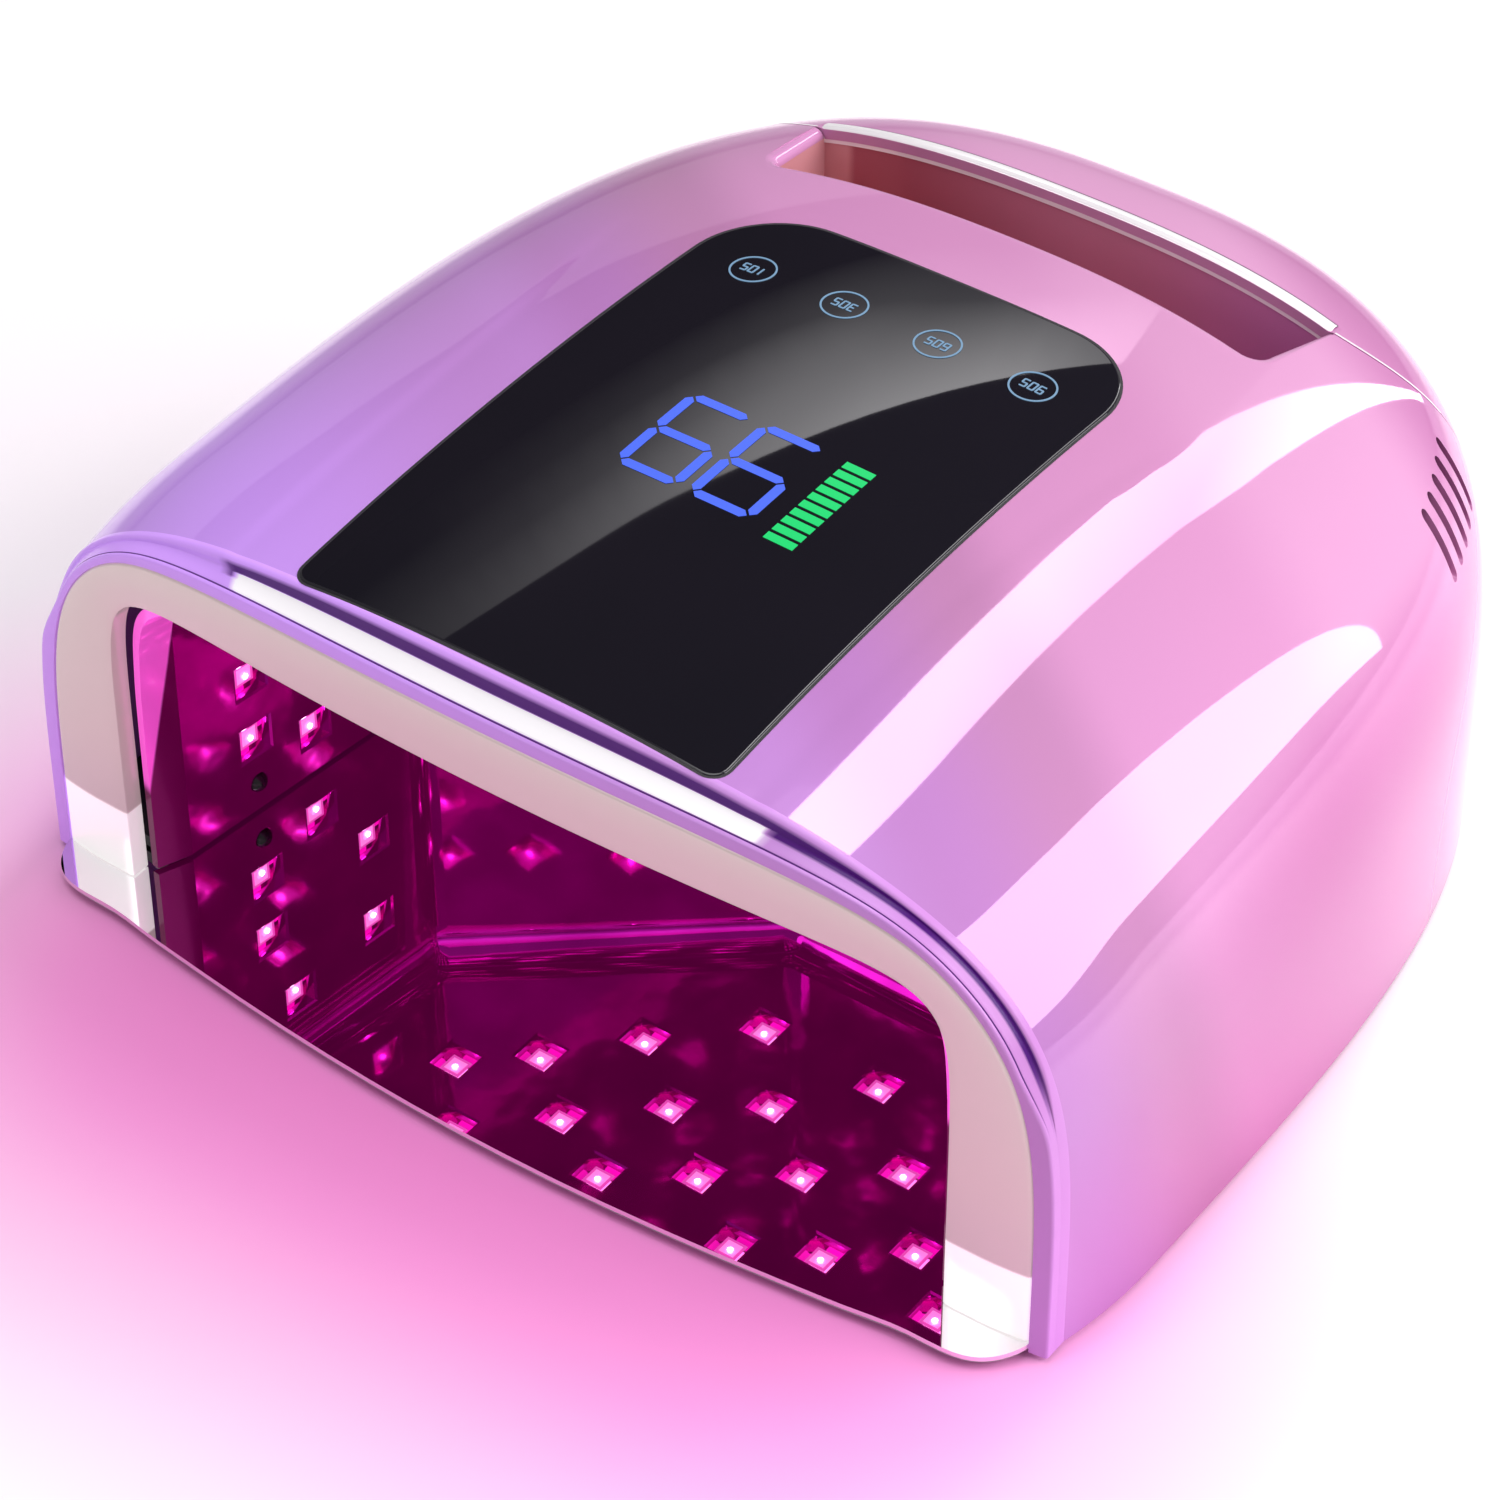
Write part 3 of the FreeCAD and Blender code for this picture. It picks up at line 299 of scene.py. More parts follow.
NODE_FINISH = {
    "reflector": REFLECTOR_WITH_PAINTED_GLOW, "mouth_flare": FLARE_PAINTED_REFLECTION,
    "presence_receiver": SENSOR, "presence_emitter": SENSOR,
    "panel_adhesive": GASKET, "key_legends": LEGEND,
    "lit_digits": DIGIT, "lit_charge_bar": CHARGE, "touch_board": BOARD, "display_module": BLACK,
    "touch_springs": STEEL, "main_board": BOARD, "heat_sink": ALUMINIUM,
    "buzzer": BLACK, "capacitors": SLEEVE,
    "battery_cells": WRAP, "battery_cradle": BLACK, "battery_strips": NICKEL, "battery_board": BOARD,
    "fan_frame": BLACK, "fan_rotor": BLACK, "fan_bracket": BLACK, "power_inlet": PORT, "inlet_pin": NICKEL,
    "switch_frame": PORT, "power_rocker": PORT, "chassis": BLACK, "holding_magnets": NICKEL,
    "chassis_screws": STEEL, "mirror_plate": PLATE, "tray_pan": TRAY, "rubber_feet": RUBBER,
    "panel_ribbon": RIBBON, "led_loom": LEAD, "side_looms": LEAD, "battery_leads": RED_LEAD,
}
for side in ("ceiling", "right", "left"):
    NODE_FINISH[side + "_led_board"] = LED_BOARD
    NODE_FINISH[side + "_led_chips"] = LED_CHIP
    NODE_FINISH[side + "_led_lenses"] = LED_LENS
for node, finish in NODE_FINISH.items():
    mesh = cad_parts[node].data
    mesh.materials.clear()
    mesh.materials.append(finish)

# ------------------------------------------------------------------ hood surface (mm)
# half width at the widest place and at the mouth, then y of both, of the rear and of its flat cap
HALF, MOUTH_HALF, WIDE, MOUTH, REAR, REAR_CAP = 114.75, 110.56, -65.0, -94.0, 111.0, 110.8
# how square the hood is in plan, at the sides of a cross section, and where the crown ends at the rear
PLAN_POWER, SIDE_POWER, CROWN_POWER = 3.39, 2.7, 11.8
# how square a cross section is at the top: at the mouth, and how much more at the rear
TOP_POWER, TOP_GROWTH = 4.7, 1.2
# the crown: its height, y of its highest place, its fall from there, and where its rear rounding begins
TOP, TOP_Y, FALL, CROWN_START = 104.3, -10.0, 0.00078, -25.0
# the crease beside the deck: its distance from the middle on either side, its spread, and over which y
CREASE_RIGHT, CREASE_LEFT, CREASE_SPREAD, CREASE_START, CREASE_RUN = 53.2, 59.6, 7.0, -45.0, 81.0
CREASE_STEP, CREASE_GROOVE = 0.16, 0.05
# the bowed front edge: y at the middle, and its sweep back out to the corner of the mouth
FRONT, FRONT_SWEEP, CORNER = -101.0, 7.3, 108.4
# the seam: half length over the grip pocket, y at the middle, its bow there, then its turn down the flanks
SEAM_HALF, SEAM_Y, SEAM_BOW, SEAM_TURN, SEAM_SLOPE = 57.0, 78.0, 2.2, 0.012, 0.06
# nearly the whole of a run, for curves whose slope is endless at the very end
WHOLE = 0.99999
# the search for a polar radius: the largest tried, and the halvings
FARTHEST_RADIUS, HALVINGS = 260.0, 44
CAP_POWER = 40


def smooth(a, b, x):
    """A smooth step from 0 at a to 1 at b."""
    t = np.clip((x - a) / (b - a), 0.0, 1.0)
    return t * t * (3 - 2 * t)


def half_width(y):
    front = HALF - (HALF - MOUTH_HALF) * ((WIDE - y) / (WIDE - MOUTH)) ** 2
    run = np.clip((y - WIDE) / (REAR - WIDE), 0.0, WHOLE)
    return np.where(y <= WIDE, front, HALF * (1 - run ** PLAN_POWER) ** (1 / PLAN_POWER))


def crown(y):
    run = np.clip((y - CROWN_START) / (REAR - CROWN_START), 0.0, WHOLE)
    return (TOP - FALL * (y - TOP_Y) ** 2) * (1 - run ** CROWN_POWER) ** (1 / CROWN_POWER)


def top_power(y):
    return TOP_POWER + TOP_GROWTH * np.clip((y - MOUTH) / (REAR - MOUTH), 0.0, 1.0) ** 2


def arch(angle, width, height, across, upward, cap=None):
    """Polar radius of an arch |x/width|^across + (z/height)^upward = 1, with an optional flat cap."""
    angle, width, height, across, upward = np.broadcast_arrays(angle, width, height, across, upward)
    cosine, sine = np.abs(np.cos(angle)), np.abs(np.sin(angle))
    low, high = np.zeros(angle.shape), np.full(angle.shape, FARTHEST_RADIUS)
    for _ in range(HALVINGS):
        mid = (low + high) / 2
        level = (mid * cosine / width) ** across + (mid * sine / height) ** upward
        if cap is not None:
            level = level + (mid * sine / cap) ** CAP_POWER
        inside = level < 1
        low, high = np.where(inside, mid, low), np.where(inside, high, mid)
    return low


def crease_line(x, y):
    spread = CREASE_SPREAD * (np.clip(y - CREASE_START, 0.0, None) / CREASE_RUN) ** 2
    return np.where(x > 0, CREASE_RIGHT, CREASE_LEFT) + spread


def relief(x, y):
    """A fine crease where the deck meets the shoulder, which stands slightly proud and eases back."""
    side = np.abs(x) - crease_line(x, y)
    step = CREASE_STEP * smooth(-1.4, 1.4, side) * (1 - smooth(6.0, 40.0, side))
    groove = -CREASE_GROOVE * smooth(-6.0, -0.6, side) * (1 - smooth(-0.6, 1.4, side))
    return (step + groove) * (1 - smooth(4.0, 30.0, y))


def hood_radius(angle, y):
    """Polar radius of the hood's outside, crease included, about the floor's middle line."""
    radius = arch(angle, half_width(y), crown(y), SIDE_POWER, top_power(y))
    return radius + relief(radius * np.cos(angle), y) * np.clip(np.sin(angle) * 1.4, 0, 1)


def deck_height(x, y):
    """Height of the hood above the floor at a plan position on the top."""
    return crown(y) * (1 - np.abs(x / half_width(y)) ** SIDE_POWER) ** (1 / top_power(y))


def front_line(x):
    """y of the bowed front edge."""
    return FRONT + FRONT_SWEEP * (x / CORNER) ** 2


def seam(x):
    """y of the seam between the upper shell and the rear cover."""
    inwards = SEAM_Y - SEAM_BOW * (x / SEAM_HALF) ** 2
    past = np.abs(x) - SEAM_HALF
    outwards = SEAM_Y - SEAM_BOW + SEAM_TURN * past ** 2 + SEAM_SLOPE * past
    return np.where(past <= 0, inwards, outwards)


# ------------------------------------------------------------------ mesh helpers
# degrees over which an edge stays crisp; the shells' wall and the height of their lower edge
SHARP, WALL, BASE = 38.0, 2.6, 1.4


def make(name, points, faces, finish, sharp=SHARP):
    """A smooth-shaded object from points in mm, with edges over the sharp angle kept crisp."""
    mesh = bpy.data.meshes.new(name)
    mesh.from_pydata([tuple(p) for p in np.asarray(points) * MM], [], faces)
    mesh.validate()
    mesh.materials.append(finish)
    mesh.polygons.foreach_set("use_smooth", [True] * len(mesh.polygons))
    mesh.set_sharp_from_angle(angle=math.radians(sharp))
    piece = bpy.data.objects.new(name, mesh)
    scene.collection.objects.link(piece)
    return piece


def grid_faces(rows, columns, wrap_rows=False, flip=False, start=0):
    """Quads between rows of points that are numbered row by row from start."""
    faces = []
    for i in range(rows if wrap_rows else rows - 1):
        j = (i + 1) % rows
        for k in range(columns - 1):
            quad = (start + i * columns + k, start + i * columns + k + 1, start + j * columns + k + 1,
                    start + j * columns + k)
            faces.append(quad[::-1] if flip else quad)
    return faces


def place(rows):
    """Stack rows of (x, y, z) arrays into one vertex list."""
    return np.concatenate([np.stack(row, -1) for row in rows])


def shell_tube(name, rows, finish):
    """A closed wall: rows run over the outside, round the front edge and back along the inside."""
    columns = len(rows[0][0])
    points = place(rows)
    grid = points.reshape(len(rows), columns, 3)
    grid[:, 0, 2] = grid[:, -1, 2] = BASE
    faces = grid_faces(len(rows), columns, wrap_rows=True)
    faces.append(tuple(i * columns for i in range(len(rows))))
    faces.append(tuple(i * columns + columns - 1 for i in range(len(rows)))[::-1])
    return make(name, grid.reshape(-1, 3), faces, finish)


def cut(piece, cutter):
    """Take one solid out of a piece for good, and remove it."""
    modifier = piece.modifiers.new("cut", "BOOLEAN")
    modifier.operation, modifier.object, modifier.solver = "DIFFERENCE", cutter, "EXACT"
    graph = bpy.context.evaluated_depsgraph_get()
    mesh = bpy.data.meshes.new_from_object(piece.evaluated_get(graph))
    old = piece.data
    piece.modifiers.clear()
    piece.data = mesh
    bpy.data.meshes.remove(old)
    bpy.data.objects.remove(cutter)
    mesh.set_sharp_from_angle(angle=math.radians(SHARP))


def block(name, first, second, flip=False):
    """A closed block between two like loops of points; flip turns its faces the other way out."""
    n = len(first)
    faces = [tuple(range(n))[::-1], tuple(range(n, 2 * n))]
    faces += [(i, (i + 1) % n, n + (i + 1) % n, n + i) for i in range(n)]
    if flip:
        faces = [face[:1] + face[:0:-1] for face in faces]
    return make(name, first + second, faces, BLACK)


def prism(name, loop, low, high):
    """An upright block over a loop of (x, y)."""
    return block(name, [(x, y, low) for x, y in loop], [(x, y, high) for x, y in loop])


def side_prism(name, loop, low, high):
    """The same along X, over a loop of (y, z)."""
    return block(name, [(low, y, z) for y, z in loop], [(high, y, z) for y, z in loop])


def rear_prism(name, loop, low, high):
    """The same along Y, over a loop of (x, z)."""
    return block(name, [(x, low, z) for x, z in loop], [(x, high, z) for x, z in loop], flip=True)


def round_loop(centre, radius, count):
    """Points on a circle, as a flat loop."""
    return [(centre[0] + radius * math.cos(a), centre[1] + radius * math.sin(a))
            for a in np.linspace(0.0, 2 * math.pi, count + 1)[:-1]]


# ------------------------------------------------------------------ upper shell
COLUMNS = 281
LOWEST = 0.0125
ANGLE = np.linspace(LOWEST, math.pi - LOWEST, COLUMNS)
COS, SIN = np.cos(ANGLE), np.sin(ANGLE)
# how far behind the front line the shell begins, and where each shell's edge lies from the seam
SHELL_BACK, UPPER_END, REAR_START = 5.1, -0.12, 0.14
# half width, height, side power, top power and flat cap of the lip, of the bezel and of the mouth's opening
LIP_ARCH = (109.9, 97.9, SIDE_POWER, TOP_POWER, 94.8)
BEZEL_ARCH = (108.4, 96.6, SIDE_POWER, TOP_POWER, 91.2)
OPENING_ARCH = (91.6, 75.6, 11.0, 11.0, 80.0)


def row_at(radius, y):
    return (radius * COS, y + 0 * radius, radius * SIN)


def front_row(radius, set_back):
    return row_at(radius, front_line(radius * COS) + set_back)


y_start = np.full(COLUMNS, -96.0)
for _ in range(6):
    y_start = front_line(hood_radius(ANGLE, y_start) * COS) + SHELL_BACK


def seam_crossing(offset):
    """y at which each column of the hood meets the seam, moved by an offset."""
    low, high = np.full(COLUMNS, 50.0), np.full(COLUMNS, 109.0)
    for _ in range(40):
        mid = (low + high) / 2
        before = mid < seam(hood_radius(ANGLE, mid) * COS) + offset
        low, high = np.where(before, mid, low), np.where(before, high, mid)
    return low


y_seam = seam_crossing(UPPER_END)
deck = hood_radius(ANGLE, y_start)
lip_free = np.minimum(arch(ANGLE, *LIP_ARCH), deck)
ledge = smooth(50.0, 66.0, deck * SIN)
lip = deck - ledge * (deck - lip_free)
gap = deck - lip
bezel_edge = arch(ANGLE, *BEZEL_ARCH)

OUTSIDE_ROWS, INSIDE_ROWS = 150, 60
rows = []
for t in np.linspace(1.0, 0.0, OUTSIDE_ROWS):
    y = y_start + (y_seam - y_start) * t
    rows.append(row_at(hood_radius(ANGLE, y), y))
for t in np.linspace(0.0, 1.0, INSIDE_ROWS):
    y = y_start + (y_seam - y_start) * t
    rows.append(row_at(hood_radius(ANGLE, y) - WALL, y))
upper = shell_tube("hood", rows, PLATED)

# front lip: rounded deck edge, drop with painted shade, cove with a painted highlight, fine groove, lip face
# down to the bezel
lip_rows, painted_light_rows = [], []
across = deck * COS
# masks of the painted shade on the drop and of the painted highlight in the cove
dark = ledge * smooth(-63.0, -59.5, across)
cove = ledge * (1 - smooth(56.5, 59.5, np.abs(across + 1.0)))


def lip_row(radius, set_back, painted_light=0.0):
    lip_rows.append(front_row(radius, set_back))
    painted_light_rows.append(painted_light + 0 * ANGLE)


# set back of the drop's foot and of the groove, the rounding of the lip's face, and that of the deck edge
drop = 2.4 + 1.1 * ledge
GROOVE_BACK, FACE_ROUND = 0.98, 0.55
round_edge = np.minimum(1.4, 0.30 * gap + 0.05)
lip_row(deck, SHELL_BACK)
for a in np.linspace(0.15, math.pi / 2, 8):
    lip_row(deck - round_edge * (1 - math.cos(a)), drop + round_edge * (1 - math.sin(a)),
            -dark * max(0.0, (a - 0.95) / 0.62))
for share in (0.66, 0.60, 0.53, 0.47):
    lip_row(lip + share * gap, drop - 0.02 * (0.66 - share), -dark)
COVE = ((0.43, 0.95), (0.39, 0.86), (0.34, 0.74), (0.28, 0.58), (0.21, 0.40), (0.14, 0.20), (0.08, 0.05))
for share, back in COVE:
    shade = dark if share > 0.3 else 0.0
    lip_row(lip + share * gap, GROOVE_BACK + back * (drop - GROOVE_BACK), 1.6 * cove - shade * (1 - cove))
lip_row(lip + 0.05 * gap, GROOVE_BACK, 0.9 * cove)
lip_row(lip + 0.02 * gap, 0.92, -0.9 * ledge)
lip_row(lip - 0.25 * ledge, 0.84, -0.9 * ledge)
lip_row(lip - 0.02 * ledge, 0.74, -0.3 * ledge)
for a in np.linspace(0.0, math.pi / 2, 6):
    lip_row(lip - FACE_ROUND * (1 - math.cos(a)), 0.6 * (1 - math.sin(a)))
inner_edge = bezel_edge + 0.12
lip_row(np.minimum(lip - 0.6, inner_edge + 0.5), 0.0)
lip_row(inner_edge + 0.1, 0.02)
lip_row(inner_edge, 0.15)
lip_row(inner_edge, 5.2)
grid = place(lip_rows).reshape(len(lip_rows), COLUMNS, 3)
grid[:, 0, 2] = grid[:, -1, 2] = BASE
front = make("hood_lip", grid.reshape(-1, 3), grid_faces(len(lip_rows), COLUMNS), LIP)
# each row's painted light: below zero painted shade, above zero painted highlight
front.data.attributes.new("painted_light", "FLOAT", "POINT").data.foreach_set("value", np.concatenate(painted_light_rows))

# grip pocket in plan: a bowed front edge, and slanted ends with small corners
POCKET_HALF, POCKET_FRONT, POCKET_BOW = 54.0, 59.0, 3.6
POCKET_CORNER, CORNER_R, POCKET_END = (51.2, 58.85), 3.0, 56.4
POCKET_ROUND = 2.6


def pocket_loop(grow=0.0, back=0.0):
    """Plan loop from the left end of the front edge; front and ends grow outwards, the rear moves back."""
    loop = []
    for x in np.linspace(-POCKET_HALF, POCKET_HALF, 55):
        if abs(x) < 51.0:
            loop.append((x, POCKET_FRONT - POCKET_BOW * (x / POCKET_HALF) ** 2 - grow))
    right = []
    for a in np.linspace(-math.pi / 2, 0.05, 7):
        right.append((POCKET_CORNER[0] + (CORNER_R + grow) * math.cos(a),
                      POCKET_CORNER[1] + (CORNER_R + grow) * math.sin(a)))
    right.append((POCKET_END + grow, float(seam(POCKET_END)) + back))
    rear = [(x, float(seam(x)) + back) for x in np.linspace(POCKET_HALF, -POCKET_HALF, 37)]
    left = [(-x, y) for x, y in reversed(right)]
    return loop + right + rear + left


cut(upper, prism("pocket_cutter", pocket_loop(POCKET_ROUND, 8.0), 60.0, 130.0))

# side vents: upright slots with round ends
VENTS, VENT_Y, VENT_PITCH, VENT_R, VENT_LOW, VENT_HIGH = 5, 53.0, 5.0, 1.15, 70.5, 80.5
for sign in (1, -1):
    for i in range(VENTS):
        y = VENT_Y + VENT_PITCH * i
        ends = round_loop((0.0, 0.0), VENT_R, 16)
        loop = [(y + u, v + (VENT_HIGH if v > 0 else VENT_LOW)) for u, v in ends]
        low, high = (62.0, 118.0) if sign > 0 else (-118.0, -62.0)
        cut(upper, side_prism("vent_cutter", loop, low, high))

# rolled edge where the deck dips into the pocket, along the front and both ends
path = [(x, y) for x, y in pocket_loop() if y < seam(x) - 0.3 or abs(x) > POCKET_END - 0.1]
path = np.array(sorted(path, key=lambda p: math.atan2(p[0], -(p[1] - 74.0))))
tangent = np.gradient(path, axis=0)
normal = np.stack([tangent[:, 1], -tangent[:, 0]], -1)
normal /= np.linalg.norm(normal, axis=1)[:, None]
roll_rows = []
for a in np.linspace(0.0, math.pi / 2, 9):
    plan = path + normal * POCKET_ROUND * (1 - math.sin(a)) * 1.01
    height = deck_height(plan[:, 0], plan[:, 1]) - POCKET_ROUND * (1 - math.cos(a)) - 0.01
    height += relief(plan[:, 0], plan[:, 1]) * 0.8
    roll_rows.append((plan[:, 0], plan[:, 1], height))
roll_rows.append((path[:, 0], path[:, 1], deck_height(path[:, 0], path[:, 1]) - POCKET_ROUND - 1.2))
roll = make("pocket_roll", place(roll_rows), grid_faces(len(roll_rows), len(path)), PLATED)

# ------------------------------------------------------------------ rear cover
OUTER_ROWS, INNER_ROWS = 96, 24
# the seat of the bright strip: its half length, how far behind the seam it ends, and its depth
SEAT_HALF, SEAT_BACK, SEAT_DEPTH = 56.8, 2.9, 0.7
REAR_WALL = 2.4
y_front = seam_crossing(REAR_START)
outer = []
for t in np.sin(np.linspace(0.0, math.pi / 2, OUTER_ROWS)):
    y = y_front + (REAR_CAP - y_front) * t
    radius = hood_radius(ANGLE, y)
    x = radius * COS
    seat = (np.abs(x) < SEAT_HALF) & (y < seam(x) + SEAT_BACK) & (SIN > 0.4)
    outer.append(row_at(radius - np.where(seat, SEAT_DEPTH, 0.0), y))
inner = []
for t in np.sin(np.linspace(0.0, math.pi / 2, INNER_ROWS)):
    y = y_front + (REAR_CAP - REAR_WALL - y_front) * t
    inner.append(row_at(hood_radius(ANGLE, np.minimum(y + 2.0 * t, REAR_CAP)) - WALL, y))
tube = outer[::-1] + [row_at(hood_radius(ANGLE, y_front) - 0.35, y_front - 0.02)] + inner
grid = place(tube).reshape(len(tube), COLUMNS, 3)
grid[:, 0, 2] = grid[:, -1, 2] = BASE
faces = grid_faces(len(tube), COLUMNS)
faces.append(tuple(range(COLUMNS))[::-1])
last = (len(tube) - 1) * COLUMNS
faces.append(tuple(range(last, last + COLUMNS)))
cover = make("rear_hood", grid.reshape(-1, 3), faces, PLATED)

# x, y and z limits of the port recess and of the rocker switch's opening, then the inlet's round opening
THROUGH = (95.0, 112.0)
PORT_RECESS = ((-27.0, 29.0), (109.0, 115.0), (8.5, 35.5))
SWITCH_OPENING = ((9.2, 22.8), THROUGH, (12.4, 31.6))
INLET_CENTRE, INLET_R = (-16.0, 22.0), 4.2
for (left, right), (near, far), (low, high) in (PORT_RECESS, SWITCH_OPENING):
    cut(cover, prism("port_cutter", [(left, near), (right, near), (right, far), (left, far)], low, high))
cut(cover, rear_prism("inlet_cutter", round_loop(INLET_CENTRE, INLET_R, 32), *THROUGH))

# ------------------------------------------------------------------ bright strip on the grip bar
STRIP_HALF, STRIP_POINTS = 57.3, 115
# painted highlight along the seam: where its fine bright line starts and ends out from the middle, and its
# points
SEAM_GLINT_START, SEAM_GLINT_END, SEAM_GLINT_POINTS = 58.2, 78.0, 40
xs = np.linspace(-STRIP_HALF, STRIP_HALF, STRIP_POINTS)


def bar_point(dy, dz):
    """A row along the bar, dy behind the seam and dz over the hood."""
    y = seam(xs) + dy
    return (xs, y, deck_height(xs, y) + dz)


strip_rows = [bar_point(3.0, -0.6), bar_point(3.0, 0.12), bar_point(2.85, 0.22), bar_point(2.2, 0.26),
              bar_point(1.5, 0.18), bar_point(0.8, -0.12), bar_point(0.35, -0.6), bar_point(0.16, -1.3),
              bar_point(0.12, -3.4), bar_point(0.9, -3.4)]
strip_points, strip_faces = place(strip_rows), grid_faces(len(strip_rows), len(xs))
# dark joint line behind the strip
joint = make("grip_joint", place([bar_point(3.4, 0.05), bar_point(3.3, 0.12), bar_point(2.95, 0.12)]),
             grid_faces(3, len(xs)), JOINT)
for sign in (1, -1):
    # painted highlight: a fine bright line that carries the strip on along the seam, standing for the glint
    # on the rear cover's front edge
    xs = sign * np.linspace(SEAM_GLINT_START, SEAM_GLINT_END, SEAM_GLINT_POINTS)[::sign]
    line = [bar_point(0.85, -0.05), bar_point(0.75, 0.04), bar_point(0.3, 0.04), bar_point(0.2, -0.2)]
    strip_faces = strip_faces + grid_faces(len(line), SEAM_GLINT_POINTS, start=len(strip_points))
    strip_points = np.concatenate([strip_points, place(line)])
strip = make("grip_strip", strip_points, strip_faces, TRIM, sharp=50)

# ------------------------------------------------------------------ pocket tub
loop = np.array(pocket_loop(0.0, 0.3))
centre = loop.mean(axis=0)
tub_rows = []
top = deck_height(loop[:, 0], loop[:, 1]) - 2.4
# height of each ring, the first being under the deck, and how far it draws in where the floor rounds up
TUB_RINGS = ((None, 0.0), (78.0, 0.0), (71.0, 0.0), (68.4, 0.010), (66.9, 0.035), (66.2, 0.075),
             (66.0, 0.12))
for z, pull in TUB_RINGS:
    ring = centre + (loop - centre) * np.array([1 - pull * 0.35, 1 - pull * 2.0])
    height = top if z is None else np.full(len(loop), z)
    tub_rows.append((ring[:, 0], ring[:, 1], height))
tub_rows = [tuple(np.append(c, c[0]) for c in row) for row in tub_rows]
n = len(loop) + 1
faces = grid_faces(len(tub_rows), n, flip=True)
faces.append(tuple(range((len(tub_rows) - 1) * n, len(tub_rows) * n - 1))[::-1])
tub = make("pocket_tub", place(tub_rows), faces, POCKET, sharp=50)

# ------------------------------------------------------------------ bezel
BEZEL_ANGLE = np.linspace(0.0, math.pi, 241)
BEZEL_COS, BEZEL_SIN = np.cos(BEZEL_ANGLE), np.sin(BEZEL_ANGLE)
outside = arch(BEZEL_ANGLE, *BEZEL_ARCH)
inside = arch(BEZEL_ANGLE, *OPENING_ARCH)
width = outside - inside
bezel_rows = []
# across the face: share of the width from the opening, and set back; the ends run back into the hood
BEZEL_FACE = ((1.0, 4.8), (1.0, 0.75), (0.992, 0.3), (0.97, 0.08), (0.93, 0.02), (0.8, 0.0), (0.6, 0.02),
              (0.45, 0.06), (0.3, 0.12), (0.16, 0.17), (0.05, 0.22), (0.01, 0.26), (0.0, 0.34), (0.0, 5.0))
BEZEL_DEPTH, BEZEL_BASE = 5.0, 3.8
for share, back in BEZEL_FACE:
    radius = inside + share * width
    sweep = back if share > 0.85 or back == BEZEL_DEPTH else back * np.minimum(width, 9.0) * 0.5
    x = radius * BEZEL_COS
    bezel_rows.append((x, front_line(x) + np.minimum(sweep, BEZEL_DEPTH), radius * BEZEL_SIN))
grid = place(bezel_rows).reshape(len(bezel_rows), len(BEZEL_ANGLE), 3)
grid[:, 0, 2] = grid[:, -1, 2] = BEZEL_BASE
grid[:, 1:-1, 2] = np.maximum(grid[:, 1:-1, 2], BEZEL_BASE + 0.05)
faces = grid_faces(len(bezel_rows), len(BEZEL_ANGLE), wrap_rows=True)
starts = [row * len(BEZEL_ANGLE) for row in range(len(bezel_rows))]
faces.append(tuple(starts))
faces.append(tuple(start + len(BEZEL_ANGLE) - 1 for start in starts)[::-1])
bezel = make("mouth_bezel", grid.reshape(-1, 3), faces, BEZEL, sharp=50)

# ------------------------------------------------------------------ glass panel
# y of the panel's front and rear, their corner radii, the half width at the front and how much it narrows
PANEL_FRONT, PANEL_REAR, SMALL_R, LARGE_R, PANEL_HALF, PANEL_TAPER = -95.3, 37.1, 3.5, 17.8, 45.2, 0.6


def corner_loss(reach, radius):
    """How much a round corner takes off the half width at a distance into it."""
    return radius - np.sqrt(np.clip(radius ** 2 - np.clip(reach, 0.0, radius) ** 2, 0, None))


def panel_half(y, grow):
    """Half width of the panel at y, grown outwards."""
    small, large = SMALL_R + grow, LARGE_R + grow
    half = PANEL_HALF - PANEL_TAPER * np.clip((y + 90.0) / 111.0, 0.0, 1.0) + grow
    near, far = (PANEL_FRONT - grow + small) - y, y - (PANEL_REAR + grow - large)
    return half - corner_loss(near, small) - corner_loss(far, large)


def panel_rows(grow):
    """y of the rows, closer together round the corners."""
    front, rear = PANEL_FRONT - grow, PANEL_REAR + grow
    small, large = SMALL_R + grow, LARGE_R + grow
    ys = [front + small * (1 - math.cos(a)) for a in np.linspace(0, math.pi / 2, 8)]
    ys += list(np.linspace(front + small, rear - large, 60)[1:-1])
    ys += [rear - large * (1 - math.sin(a)) for a in np.linspace(0, math.pi / 2, 18)]
    return np.array(ys)


def panel_ring(grow, lift):
    ys = panel_rows(grow)
    half = panel_half(ys, grow)
    across_front = np.linspace(-half[0], half[0], 30)[1:-1]
    across_rear = np.linspace(half[-1], -half[-1], 22)[1:-1]
    x = np.concatenate([across_front, half, across_rear, -half[::-1]])
    y = np.concatenate([0 * across_front + ys[0], ys, 0 * across_rear + ys[-1], ys[::-1]])
    return x, y, deck_height(x, y) + lift


FACE_GROW, FACE_LIFT = -0.5, 0.25
ys = panel_rows(FACE_GROW)
half = panel_half(ys, FACE_GROW)
u = np.linspace(-1.0, 1.0, 61)
x = half[:, None] * u[None]
y = np.repeat(ys[:, None], len(u), 1)
points = np.stack([x, y, deck_height(x, y) + FACE_LIFT], -1).reshape(-1, 3)
faces = grid_faces(len(ys), len(u))
EDGE = ((FACE_GROW, FACE_LIFT), (-0.3, 0.235), (-0.14, 0.17), (-0.03, 0.06), (0.0, -0.15), (0.0, -1.2))
GASKET_EDGE = ((-0.1, 0.05), (0.45, 0.05))


def closed_rings(profile):
    """Rings round the panel at each (grow, lift), with the first point repeated at the end."""
    return [tuple(np.append(c, c[0]) for c in panel_ring(grow, lift)) for grow, lift in profile]


